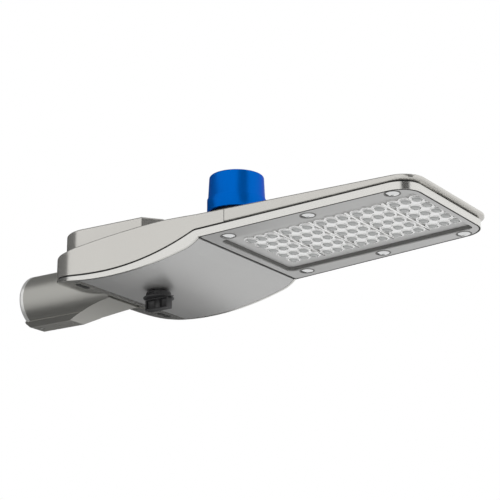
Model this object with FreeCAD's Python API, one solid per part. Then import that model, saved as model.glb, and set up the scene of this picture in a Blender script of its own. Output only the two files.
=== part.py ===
"""LED street light head: die-cast gear housing, finned LED head, drop-down gear door and pole spigot.

Units are millimetres. The origin is the centre of the spigot's mouth. The spigot's axis is the X
axis and the LED end points to +X. Up is +Z: the deck is level and the LED panel under it rises
gently towards the front.
"""
import FreeCAD
import Part
import math
import os

V = FreeCAD.Vector
Y_AXIS = V(0, 1, 0)
Z_AXIS = V(0, 0, 1)
FAR = 1500.0

# Plan of the head: straight sides that close in towards the front
REAR_X = 122.0
SEAM_X = 441.0
SEAM_GAP = 0.9
SINK_FRONT_X = 725.0
FRAME_SETBACK = 6.0
FRAME_FRONT_X = SINK_FRONT_X - FRAME_SETBACK
WIDTH_STATION_X = 540.0
HALF_WIDTH = 120.2
SIDE_TAPER = 0.036
REAR_CORNER_R = 63.0
FRONT_CORNER_R = 33.0

# Deck line of the two upper castings
DECK_Z = 38.8
CREST_X = 340.0
CREST_RISE = 1.0
DECK_LEVEL_X = 395.0
ARCH_RISE = 2.6
TAIL_FLAT_X = 168.0
TAIL_DROP = 16.8
TAIL_SLOPE = 1.4
DECK_EDGE_R = 2.6

# Line of the joint between the upper castings and the lower frame
SPLIT_LOW_X = 230.0
SPLIT_LOW_Z = -18.4
SPLIT_REAR_R = 592.0
SPLIT_FRONT_R = 395.0
SPLIT_KNEE_X = 387.0
SPLIT_LEVEL_X = 398.0
SPLIT_GAP = 2.6

# Belly line: underside of the frame's side band and of the gear door
BELLY_LOW_X = 237.0
BELLY_LOW_Z = -26.9
BELLY_REAR_R = 450.0
BELLY_FRONT_R = 500.0
BELLY_TAIL_X = 165.0
BELLY_REAR_Z = -9.5
NOSE_START_X = 371.0

# LED panel plane: it starts at the door seam and rises to the front
PANEL_X = 398.0
PANEL_Z = 5.05
PANEL_FRONT_Z = 19.3
PANEL_TILT = math.degrees(math.atan2(PANEL_FRONT_Z - PANEL_Z, FRAME_FRONT_X - PANEL_X))
PANEL_LENGTH = math.hypot(PANEL_FRONT_Z - PANEL_Z, FRAME_FRONT_X - PANEL_X)
BAND_HEIGHT = 11.5

# Walls
HOUSING_WALL = 3.5
SINK_WALL = 4.0
FRAME_WALL = 4.0
FRAME_FLOOR = 3.0

# Hump over the spigot socket
HUMP_REAR_X = 130.0
HUMP_FRONT_X = 311.0
HUMP_INSET = 17.5
HUMP_TOP_Z = 58.0
HUMP_REAR_R = 52.0
HUMP_CHAMFER_X = 20.0
HUMP_CHAMFER_Y = 25.0
HUMP_EDGE_R = 3.0

# Spigot for a 60 mm pole end
SPIGOT_R = 41.25
SPIGOT_BORE_R = 31.0
SPIGOT_BORE_LENGTH = 105.0
SPIGOT_LENGTH = 172.0
SPIGOT_MOUTH_R = 5.0
SPIGOT_CLEARANCE = 2.2
PAD_HALF_WIDTH = 16.5
PAD_Z = -42.0
PAD_LENGTH = 84.0
NECK_END_Z = -24.0
CABLE_HOLE_R = 12.0
EAR_X0 = 138.0
EAR_X1 = 172.0
EAR_HALF_SPAN = 66.0
EAR_Z0 = 0.0
EAR_THICKNESS = 9.0
EAR_BOLT_Y = 55.0
EAR_BOLT_INSET_X = 8.5
EAR_BOLT_R = 4.0
EAR_BOLT_LENGTH = 26.0
EAR_BOSS_R = 7.6
SET_SCREW_X = (15.0, 47.5, 80.0)
SET_SCREW_R = 4.0
SET_SCREW_LENGTH = 9.0
SET_SCREW_RECESS = 1.5

# Rear of the frame: a notch round the spigot's neck and a cross bar in front of it
NOTCH_HALF_WIDTH = 50.0
CROSS_BAR_X0 = 177.0
CROSS_BAR_X1 = 192.5
SLOT_X = 175.0
SLOT_Y = 97.0
SLOT_LENGTH = 22.0
SLOT_WIDTH = 4.5

# Gear door
DOOR_REAR_X = 194.0
DOOR_FRONT_X = 397.0
DOOR_GAP = 0.9
DOOR_WALL = 2.2
DOOR_RIM_WALL = 2.5
DOOR_RIM_HEIGHT = 6.0
DOOR_RIM_SETBACK = 14.0

# Door hinge, at the seam with the LED panel
HINGE_X = 392.0
HINGE_Z = 6.3
HINGE_Y = 76.0
HINGE_PIN_R = 1.5
HINGE_RUNNING = 0.08
HINGE_EYE_R = 3.0
HINGE_RELIEF = 0.45
HINGE_LUG_WIDTH = 12.0
HINGE_EAR_WIDTH = 6.0
HINGE_SIDE_GAP = 0.6
HINGE_WEB = 3.0
HINGE_STEM_REAR = 5.0
SEAM_BAR_X0 = 399.8
SEAM_BAR_X1 = 406.0

# Quarter-turn latch of the door
LATCH_X = 260.0
LATCH_Y = -28.0
LATCH_SKIRT_R = 19.0
LATCH_SKIRT_HEIGHT = 10.0
LATCH_BRIM_R = 22.5
LATCH_BRIM_HEIGHT = 1.8
LATCH_GRIP_LENGTH = 40.0
LATCH_GRIP_WIDTH = 13.0
LATCH_GRIP_HEIGHT = 18.0
LATCH_GRIP_WALL = 2.4
LATCH_STUD_R = 4.0
LATCH_STUD_TOP_Z = -3.0
LATCH_RUNNING = 0.08
LATCH_PIN_R = 1.5
LATCH_PIN_REACH = 7.0
LATCH_PIN_Z = -6.8
LATCH_BOSS_HEIGHT = 2.5
LATCH_CLIP_R = 8.0
LATCH_CLIP_THICKNESS = 1.6
LATCH_FACE_GAP = 0.3
LATCH_KNOB_GAP = 0.9
KEEPER_HALF_WIDTH = 11.0
KEEPER_LENGTH = 18.0
KEEPER_LEG = 2.4
KEEPER_STUD_GAP = 1.3
KEEPER_PLATE = 3.2
KEEPER_Z0 = -12.0
KEEPER_Z1 = 4.0
KEEPER_POST_R = 9.0

# LED panel, measured in the panel's own plane: x from the door seam, z inwards from its face
BEZEL_REAR = 1.0
BEZEL_INSET = 1.4
BEZEL_GAP = 0.5
BEZEL_THICKNESS = 3.0
WINDOW_REAR = 13.0
WINDOW_HALF_WIDTH = 90.0
WINDOW_FRONT_MARGIN = 10.0
WINDOW_FRONT = PANEL_LENGTH - WINDOW_FRONT_MARGIN
WINDOW_CORNER_R = 9.0
WINDOW_LIP = 3.0
RECESS_DEPTH = 7.0
SEAL_THICKNESS = 0.3
FRAME_SEAT_GAP = 0.8
MODULE_COUNT = 5
MODULE_REAR_MARGIN = 17.3
MODULE_PITCH = (WINDOW_FRONT - WINDOW_REAR - MODULE_REAR_MARGIN) / MODULE_COUNT
MODULE_GAP = 3.5
PLATE_SIDE_MARGIN = 23.5
PLATE_LENGTH = MODULE_PITCH - MODULE_GAP
PLATE_WIDTH = 2 * (WINDOW_HALF_WIDTH - PLATE_SIDE_MARGIN)
LENS_COLUMNS = 3
LENS_ROWS = 5
LENS_PITCH = MODULE_PITCH * 0.297
LENS_GAP_X = 2.0
LENS_GAP_Y = 4.9
ROW_PITCH = PLATE_WIDTH / (LENS_ROWS - 0.056)
LENS_LENGTH = LENS_PITCH - LENS_GAP_X
LENS_WIDTH = ROW_PITCH - LENS_GAP_Y
LENS_HEIGHT = 3.6
LENS_CROWN = 0.55
PLATE_THICKNESS = 1.4
BOARD_MARGIN = 1.5
BOARD_THICKNESS = 1.6
CHIP_SIZE = 3.5
CHIP_THICKNESS = 0.7

# Bezel screws
SCREW_END_INSET = 21.8
SCREW_X = (WINDOW_REAR + SCREW_END_INSET, (WINDOW_REAR + WINDOW_FRONT) / 2, WINDOW_FRONT - SCREW_END_INSET)
SCREW_SIDE_MARGIN = 11.0
SCREW_Y = WINDOW_HALF_WIDTH + SCREW_SIDE_MARGIN
SCREW_HEAD_R = 9.0
SCREW_PROUD = 1.9
SCREW_HEAD_HEIGHT = 3.3
SCREW_DOME = 1.2
SCREW_SEAT_R = 10.4
SCREW_SHANK_R = 2.5
SCREW_SHANK_LENGTH = 7.0
SHANK_CLEARANCE = 0.4
SCREW_BOSS_R = 6.0
BEZEL_REAR_R = 10.0

# Heat sink
SINK_FLOOR = 2.8
FLOOR_REAR = 8.6
FLOOR_INSET = 5.6
FLOOR_WALL = 4.0
FIN_COUNT = 12
FIN_THICKNESS = 2.6
FIN_END_GAP = 7.0
FIN_TIP_DROP = 1.0
BOARD_CLEARANCE = 0.3

# Control socket on the deck and its shorting cap
CAP_X = 377.0
PEDESTAL_R = 45.0
PEDESTAL_Z = 52.0
PEDESTAL_DRAFT = 3.0
SOCKET_HOLE_R = 24.0
SOCKET_GASKET_R = 39.0
SOCKET_GASKET_THICKNESS = 2.0
SOCKET_R = 37.0
SOCKET_SHOULDER_Z = 74.0
SOCKET_NECK_R = 35.0
SOCKET_TOP_Z = 84.0
SOCKET_STEM_R = 22.0
SOCKET_STEM_Z = 30.0
SOCKET_SCREW_PCD_R = 30.0
SOCKET_SCREW_R = 2.0
SOCKET_SCREW_REACH = 12.0
CAP_RIM_Z = 76.8
CAP_TOP_Z = 131.7
CAP_RIM_R = 42.7
CAP_STEP_Z = 96.5
CAP_STEP_R = 41.6
CAP_TOP_R = 39.8
CAP_EDGE_R = 2.2
CAP_WALL = 2.6
CAP_SKIRT_R = 37.6
CAP_BASE_THICKNESS = 4.0
CAP_FACE_GAP = 0.3
BLADE_R = 16.7
BLADE_THICKNESS = 1.6
BLADE_ARC = 22.0
BLADE_REACH = 10.0
BLADE_COUNT = 3
TWIST_ARC = 35.0
SLOT_SIDE = 0.8
SLOT_END_ARC = 4.0

# Gear inside
TRAY_X0 = 205.0
TRAY_X1 = 330.0
TRAY_HALF_WIDTH = 92.0
TRAY_Z = 30.0
TRAY_THICKNESS = 1.5
TRAY_FLANGE = 8.0
TRAY_POST_R = 5.0
TRAY_POST_INSET = 12.0
DRIVER_LENGTH = 112.0
DRIVER_WIDTH = 64.0
DRIVER_HEIGHT = 34.0
DRIVER_X = (TRAY_X0 + TRAY_X1) / 2
DRIVER_Y = 26.0
DRIVER_RIB_COUNT = 7
DRIVER_RIB_DEPTH = 1.5
SURGE_SIZE = (52.0, 30.0, 26.0)
SURGE_X = TRAY_X0 + 46.0
SURGE_Y = 24.0 - TRAY_HALF_WIDTH
TERMINAL_SIZE = (16.0, 48.0, 20.0)
TERMINAL_X = TRAY_X1 - 30.0
TERMINAL_Y = 36.0 - TRAY_HALF_WIDTH
TERMINAL_WAYS = 5
GASKET_SETBACK = 1.8
DOOR_SEAL_HEIGHT = 1.5
TAB_CLEARANCE = 2.5
SMALL_SCREW_R = 2.0
SMALL_HEAD_R = 3.6
SMALL_HEAD_HEIGHT = 1.4
SMALL_SCREW_LENGTH = 9.0
FRAME_SCREW_X = 200.0
FRAME_SCREW_Y = 97.0
SINK_SCREW_X = ((SCREW_X[0] + SCREW_X[1]) / 2, (SCREW_X[1] + SCREW_X[2]) / 2)
SEAM_SCREW_X = 16.5
SEAM_SCREW_Y = 104.0
TAB_THICKNESS = 4.0
TAB_Z = 4.6


def half_width(x):
    """Half of the head's width at a station along X."""
    return HALF_WIDTH - SIDE_TAPER * (x - WIDTH_STATION_X)


def panel_z(x):
    """Height of the LED panel's face at a station along X."""
    return PANEL_Z + (x - PANEL_X) * math.tan(math.radians(PANEL_TILT))


def arc_z(x, low_x, low_z, radius):
    """Height of an upward-curving arc whose lowest point is (low_x, low_z)."""
    return low_z + radius - math.sqrt(radius ** 2 - (x - low_x) ** 2)


def split_z(x):
    """Height of the line between the upper castings and the frame."""
    if x <= SPLIT_LOW_X:
        return arc_z(x, SPLIT_LOW_X, SPLIT_LOW_Z, SPLIT_REAR_R)
    if x <= SPLIT_KNEE_X:
        return arc_z(x, SPLIT_LOW_X, SPLIT_LOW_Z, SPLIT_FRONT_R)
    return panel_z(x) + BAND_HEIGHT


def belly_z(x):
    """Height of the belly line between its tail and the door's nose."""
    radius = BELLY_REAR_R if x <= BELLY_LOW_X else BELLY_FRONT_R
    return arc_z(x, BELLY_LOW_X, BELLY_LOW_Z, radius)


def line(a, b):
    """Straight edge between two (x, z) points in the XZ plane."""
    return Part.LineSegment(V(a[0], 0, a[1]), V(b[0], 0, b[1])).toShape()


def arc(a, middle, b):
    """Arc through three (x, z) points in the XZ plane."""
    return Part.Arc(V(a[0], 0, a[1]), V(middle[0], 0, middle[1]), V(b[0], 0, b[1])).toShape()


def across(edges, half=FAR):
    """Solid that a closed outline in the XZ plane sweeps from -half to +half along Y."""
    face = Part.Face(Part.Wire(edges))
    face.translate(V(0, -half, 0))
    return face.extrude(V(0, 2 * half, 0))


def block(x0, x1, y0, y1, z0, z1):
    """Box between two corners."""
    return Part.makeBox(x1 - x0, y1 - y0, z1 - z0, V(x0, y0, z0))


def rod(radius, x, y, z0, z1):
    """Upright cylinder."""
    return Part.makeCylinder(radius, z1 - z0, V(x, y, z0), Z_AXIS)


def cross_rod(radius, x, z, y0, y1):
    """Cylinder that lies along Y."""
    return Part.makeCylinder(radius, y1 - y0, V(x, y0, z), Y_AXIS)


def union(shapes):
    """One solid from shapes that touch or overlap."""
    whole = shapes[0].fuse(shapes[1:]) if len(shapes) > 1 else shapes[0]
    return whole.removeSplitter()


def group(shapes):
    """Separate solids kept together in one sub-part."""
    return Part.makeCompound(shapes)


def upright_edges(shape, x, tolerance=0.5):
    """Vertical edges of a shape that stand at a station along X."""
    found = []
    for edge in shape.Edges:
        a = edge.Vertexes[0].Point
        b = edge.Vertexes[-1].Point
        upright = abs(a.x - b.x) < 1e-6 and abs(a.y - b.y) < 1e-6
        if upright and abs(a.x - x) < tolerance:
            found.append(edge)
    return found


def plan_prism(x0, x1, inset, rear_r, front_r):
    """Tapered prism with the head's plan, set in from its sides and rounded at its corners."""
    corners = [(x0, inset - half_width(x0)), (x1, inset - half_width(x1)),
               (x1, half_width(x1) - inset), (x0, half_width(x0) - inset)]
    points = [V(x, y, -FAR) for x, y in corners]
    solid = Part.Face(Part.makePolygon(points + points[:1])).extrude(V(0, 0, 2 * FAR))
    if rear_r > 0:
        solid = solid.makeFillet(rear_r, upright_edges(solid, x0))
    if front_r > 0:
        solid = solid.makeFillet(front_r, upright_edges(solid, x1))
    return solid


def on_panel(shape):
    """Move a shape from the LED panel's own plane to its place on the head."""
    shape.rotate(V(0, 0, 0), Y_AXIS, -PANEL_TILT)
    shape.translate(V(PANEL_X, 0, PANEL_Z))
    return shape


def floor_top():
    """Depth behind the panel's face of the upper side of the heat sink's floor."""
    return RECESS_DEPTH + BOARD_THICKNESS + SINK_FLOOR


def split_edges(lift, x_end):
    """Edges of the split line, lifted by an amount, from the rear of the head to x_end."""
    def at(x):
        return (x, split_z(x) + lift)
    rear_x = REAR_X - 5.0
    rear_mid = (rear_x + SPLIT_LOW_X) / 2
    front_mid = (SPLIT_LOW_X + SPLIT_KNEE_X) / 2
    knee = at(SPLIT_KNEE_X)
    level = at(SPLIT_LEVEL_X)
    rise = (level[1] - knee[1]) * 0.72
    knee_mid = ((SPLIT_KNEE_X + SPLIT_LEVEL_X) / 2 - 1.0, knee[1] + rise)
    return [arc(at(rear_x), at(rear_mid), at(SPLIT_LOW_X)),
            arc(at(SPLIT_LOW_X), at(front_mid), knee),
            arc(knee, knee_mid, level),
            line(level, at(x_end))]


def above_split(lift, top_z=FAR):
    """Everything above the split line."""
    x_end = SINK_FRONT_X + 10.0
    edges = split_edges(lift, x_end)
    start = edges[0].Vertexes[0].Point
    end = (x_end, split_z(x_end) + lift)
    edges += [line(end, (x_end, top_z)), line((x_end, top_z), (start.x, top_z)),
              line((start.x, top_z), (start.x, start.z))]
    return across(edges)


def deck_edges(drop, x0, x1):
    """Edges of the deck line: low over the tail, a gentle crest, then level to the front."""
    start = (x0, DECK_Z - TAIL_DROP - TAIL_SLOPE - drop)
    tail = (TAIL_FLAT_X, DECK_Z - TAIL_DROP - drop)
    crest = (CREST_X, DECK_Z + CREST_RISE - drop)
    middle = ((tail[0] + crest[0]) / 2, (tail[1] + crest[1]) / 2 + ARCH_RISE)
    level = (DECK_LEVEL_X, DECK_Z - drop)
    fall = ((crest[0] + level[0]) / 2, (crest[1] + level[1]) / 2 + CREST_RISE / 4)
    return [line(start, tail), arc(tail, middle, crest), arc(crest, fall, level),
            line(level, (x1, DECK_Z - drop))], start


def below_deck(drop):
    """Everything below the deck line, lowered by an amount."""
    x0 = REAR_X - 5.0
    x1 = SINK_FRONT_X + 10.0
    edges, start = deck_edges(drop, x0, x1)
    edges += [line((x1, DECK_Z - drop), (x1, -FAR)), line((x1, -FAR), (x0, -FAR)), line((x0, -FAR), start)]
    return across(edges)


def belly_edges(lift, x_rear, x_front):
    """Edges of the belly line from the tail to the door's nose, lifted by an amount."""
    def at(x):
        return (x, belly_z(x) + lift)
    tail = at(BELLY_TAIL_X)
    rear = (REAR_X - 0.01, BELLY_REAR_Z + lift)
    tail_mid = ((rear[0] + tail[0]) / 2, (rear[1] + tail[1]) / 2 - 1.6)
    low = at(BELLY_LOW_X)
    nose = at(NOSE_START_X)
    tip = (x_front, panel_z(x_front) + lift)
    nose_mid = ((nose[0] + tip[0]) / 2 + 1.5, (nose[1] + tip[1]) / 2 - 1.6)
    edges = [arc(rear, tail_mid, tail),
             arc(tail, at((BELLY_TAIL_X + BELLY_LOW_X) / 2), low),
             arc(low, at((BELLY_LOW_X + NOSE_START_X) / 2), nose),
             arc(nose, nose_mid, tip)]
    if x_rear < REAR_X:
        edges.insert(0, line((x_rear, rear[1]), rear))
    return edges


def above_belly(lift):
    """Everything above the belly line and, in front of it, above the LED panel's face."""
    x0 = REAR_X - 5.0
    x1 = SINK_FRONT_X + 10.0
    edges = belly_edges(lift, x0, PANEL_X)
    front = (x1, panel_z(x1) + lift)
    edges += [line((PANEL_X, panel_z(PANEL_X) + lift), front), line(front, (x1, FAR)),
              line((x1, FAR), (x0, FAR)), line((x0, FAR), (x0, BELLY_REAR_Z + lift))]
    return across(edges)


def top_edges(shape, z, tolerance=0.05):
    """Edges of a shape that lie level at a height."""
    return [edge for edge in shape.Edges
            if abs(edge.BoundBox.ZMin - z) < tolerance and abs(edge.BoundBox.ZMax - z) < tolerance]


def deck_side_edges(shape):
    """Edges where the rear housing's deck meets its sides and its rear end."""
    found = []
    for edge in shape.Edges:
        box = edge.BoundBox
        middle = edge.valueAt((edge.FirstParameter + edge.LastParameter) / 2)
        along = box.XLength > 1.0 or abs(box.XMax - REAR_X) < 0.01
        if along and box.ZMin > split_z(middle.x) + DECK_EDGE_R + SPLIT_GAP and box.ZLength < TAIL_DROP + 5.0:
            found.append(edge)
    return found


def hump_solid(inset, top_z, edge_r):
    """The raised block over the spigot socket: rounded at the rear, cut corners at the front."""
    def width(x):
        return half_width(x) - HUMP_INSET - inset
    x0 = HUMP_REAR_X + inset
    x1 = HUMP_FRONT_X - inset
    cut_x = x1 - HUMP_CHAMFER_X
    cut_y = width(x1) - HUMP_CHAMFER_Y
    corners = [(x0, -width(x0)), (cut_x, -width(cut_x)), (x1, -cut_y),
               (x1, cut_y), (cut_x, width(cut_x)), (x0, width(x0))]
    points = [V(x, y, 0) for x, y in corners]
    solid = Part.Face(Part.makePolygon(points + points[:1])).extrude(V(0, 0, top_z))
    solid = solid.makeFillet(HUMP_REAR_R - inset, upright_edges(solid, x0))
    if edge_r > 0:
        solid = solid.makeFillet(edge_r, top_edges(solid, top_z))
    return solid


def ear_bolt_places():
    """Plan positions of the four bolts that hold the spigot's ears."""
    return [(x, side * EAR_BOLT_Y)
            for x in (EAR_X0 + EAR_BOLT_INSET_X, EAR_X1 - EAR_BOLT_INSET_X) for side in (-1, 1)]


def tray_screw_places():
    """Plan positions of the four screws that hold the gear tray."""
    return [(x, side * (TRAY_HALF_WIDTH - TRAY_POST_INSET))
            for x in (TRAY_X0 + TRAY_POST_INSET, TRAY_X1 - TRAY_POST_INSET) for side in (-1, 1)]


def socket_screw_places():
    """Plan positions of the two screws of the control socket."""
    return [(CAP_X, side * SOCKET_SCREW_PCD_R) for side in (-1, 1)]


def rear_screw_places():
    """Plan positions of the two screws that draw the frame up to the rear housing."""
    return [(FRAME_SCREW_X, side * FRAME_SCREW_Y) for side in (-1, 1)]


def front_screw_places():
    """Positions in the panel's plane of the screws that draw the frame up to the heat sink."""
    places = []
    for x in SINK_SCREW_X:
        y = half_width(PANEL_X + x) - FLOOR_INSET - SCREW_BOSS_R
        places += [(x, -y), (x, y)]
    return places


def seam_screw_places():
    """Positions in the panel's plane of the screws at the rear end of the heat sink's floor."""
    return [(SEAM_SCREW_X, side * SEAM_SCREW_Y) for side in (-1, 1)]


def rear_tab_z():
    """Height of the underside of the frame's rear screw tabs, clear of the door's rim."""
    return belly_z(FRAME_SCREW_X) + DOOR_WALL + DOOR_RIM_HEIGHT + DOOR_SEAL_HEIGHT + SMALL_HEAD_HEIGHT + TAB_CLEARANCE


def spigot_space(clearance):
    """Room that the spigot's barrel takes up, with a clearance, down through the notch."""
    radius = SPIGOT_R + clearance
    barrel = Part.makeCylinder(radius, SPIGOT_LENGTH, V(0, 0, 0), V(1, 0, 0))
    below = block(0, SPIGOT_LENGTH, -radius, radius, -FAR, 0)
    return barrel.fuse(below)


def build_rear_housing():
    """Rear upper casting: gear compartment with the hump over the spigot and the socket pedestal."""
    plan = plan_prism(REAR_X, SEAM_X - SEAM_GAP / 2, 0, REAR_CORNER_R, 0)
    outer = plan.common(below_deck(0)).common(above_split(SPLIT_GAP / 2))
    outer = outer.makeFillet(DECK_EDGE_R, deck_side_edges(outer))
    outer = outer.fuse(hump_solid(0, HUMP_TOP_Z, HUMP_EDGE_R).common(above_split(SPLIT_GAP / 2)))
    pedestal = Part.makeCone(PEDESTAL_R + PEDESTAL_DRAFT, PEDESTAL_R, PEDESTAL_Z - DECK_Z + 6.0,
                             V(CAP_X, 0, DECK_Z - 6.0), Z_AXIS)
    outer = outer.fuse(pedestal)
    wall = HOUSING_WALL
    hollow_plan = plan_prism(REAR_X + wall, SEAM_X + 1.0, wall, REAR_CORNER_R - wall, 0)
    hollow = hollow_plan.common(below_deck(wall))
    hollow = hollow.fuse(hump_solid(wall, HUMP_TOP_Z - wall, 0))
    shell = outer.cut(hollow)
    inside = outer.common(hollow)
    posts = [rod(EAR_BOSS_R, x, y, EAR_Z0 + EAR_THICKNESS, HUMP_TOP_Z - wall) for x, y in ear_bolt_places()]
    posts += [rod(TRAY_POST_R, x, y, TRAY_Z + TRAY_THICKNESS, HUMP_TOP_Z) for x, y in tray_screw_places()]
    posts.append(rod(KEEPER_POST_R, LATCH_X, LATCH_Y, KEEPER_Z1, TRAY_Z - 2.0))
    posts.append(rod(KEEPER_POST_R * 0.6, LATCH_X, LATCH_Y, KEEPER_Z1, HUMP_TOP_Z))
    posts += [rod(SCREW_BOSS_R, x, y, rear_tab_z() + TAB_THICKNESS, HUMP_TOP_Z) for x, y in rear_screw_places()]
    top = floor_top()
    posts += [on_panel(rod(SCREW_BOSS_R, x, y, top, FAR)) for x, y in seam_screw_places()]
    body = union([shell] + [post.common(inside) for post in posts])
    body = body.cut(spigot_space(SPIGOT_CLEARANCE).common(block(0, REAR_X + wall + 12.0, -FAR, FAR, -FAR, FAR)))
    holes = [rod(SOCKET_HOLE_R, CAP_X, 0, 0, PEDESTAL_Z + 1)]
    holes += [rod(EAR_BOLT_R, x, y, EAR_Z0, EAR_Z0 + EAR_BOLT_LENGTH) for x, y in ear_bolt_places()]
    holes += [rod(SMALL_SCREW_R, x, y, TRAY_Z, TRAY_Z + SMALL_SCREW_LENGTH) for x, y in tray_screw_places()]
    holes += [rod(SOCKET_SCREW_R, x, y, PEDESTAL_Z - SOCKET_SCREW_REACH, PEDESTAL_Z + 1) for x, y in socket_screw_places()]
    holes += [rod(SMALL_SCREW_R, x, y, rear_tab_z(), rear_tab_z() + SMALL_SCREW_LENGTH) for x, y in rear_screw_places()]
    holes += [on_panel(rod(SMALL_SCREW_R, x, y, 0, RECESS_DEPTH + SMALL_SCREW_LENGTH))
              for x, y in seam_screw_places()]
    return body.cut(holes).removeSplitter()


def build_heat_sink():
    """Front upper casting: its floor carries the LED boards, with cooling fins in a recess on top."""
    top = floor_top()
    wall = SINK_WALL
    plan = plan_prism(SEAM_X + SEAM_GAP / 2, SINK_FRONT_X, 0, 0, FRONT_CORNER_R)
    outer = plan.common(above_split(SPLIT_GAP / 2)).common(below_deck(0))
    outer = outer.makeFillet(DECK_EDGE_R, [edge for edge in top_edges(outer, DECK_Z)
                                           if edge.BoundBox.XMax > SEAM_X + 1.0])
    inset = FLOOR_INSET
    floor_plan = plan_prism(PANEL_X, FRAME_FRONT_X - inset, inset, 0, FRONT_CORNER_R - inset)
    ledge = on_panel(block(FLOOR_REAR, FAR, -FAR, FAR, RECESS_DEPTH, top))
    ring = on_panel(block(FLOOR_REAR, FAR, -FAR, FAR, RECESS_DEPTH, BAND_HEIGHT + SPLIT_GAP))
    ring = ring.common(plan_prism(SEAM_X, FAR, 0, 0, 0))
    body = outer.fuse([floor_plan.common(ledge), floor_plan.common(ring)])
    deep = inset + FLOOR_WALL
    low_tray = plan_prism(SEAM_X + wall, FRAME_FRONT_X - deep, deep, 0, FRONT_CORNER_R - deep)
    high_tray = plan_prism(SEAM_X + wall, SINK_FRONT_X - wall, wall, 0, FRONT_CORNER_R - wall)
    body = body.cut([low_tray.common(on_panel(block(0, FAR, -FAR, FAR, top, FAR))),
                     high_tray.common(on_panel(block(0, FAR, -FAR, FAR, BAND_HEIGHT + SPLIT_GAP + wall, FAR)))])
    span = 2 * (half_width(SINK_FRONT_X) - deep) - 2 * FIN_END_GAP
    x0 = SEAM_X + wall + FIN_END_GAP
    x1 = FRAME_FRONT_X - deep - FIN_END_GAP
    lower = on_panel(block(0, FAR, -FAR, FAR, top - SINK_FLOOR / 2, FAR))
    fins = []
    for index in range(FIN_COUNT):
        y = -span / 2 + span * index / (FIN_COUNT - 1)
        end = x1 - (FRONT_CORNER_R - deep if abs(y) > span / 2 - FRONT_CORNER_R + deep else 0.0)
        fin = block(x0, end, y - FIN_THICKNESS / 2, y + FIN_THICKNESS / 2, 0, DECK_Z - FIN_TIP_DROP)
        fins.append(fin.common(lower))
    posts = [on_panel(rod(SCREW_BOSS_R, x, y, top - SINK_FLOOR / 2, TAB_Z + SMALL_SCREW_LENGTH + 1.5))
             for x, y in front_screw_places()]
    body = union([body] + fins + posts)
    holes = [on_panel(rod(SMALL_SCREW_R, x, y, 0, TAB_Z + SMALL_SCREW_LENGTH)) for x, y in front_screw_places()]
    holes += [on_panel(rod(SMALL_SCREW_R, x, y, 0, top + 1)) for x, y in seam_screw_places()]
    for x in SCREW_X:
        holes += [on_panel(rod(SCREW_SHANK_R + SHANK_CLEARANCE, x, side * SCREW_Y, 0, top - 1.5))
                  for side in (-1, 1)]
    for module in range(MODULE_COUNT):
        x0, x1, half = board_plan(module)
        clear = BOARD_CLEARANCE
        holes.append(on_panel(block(x0 - clear, x1 + clear, -half - clear, half + clear,
                                    RECESS_DEPTH - 1, RECESS_DEPTH + BOARD_THICKNESS)))
    return body.cut(holes)


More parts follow.
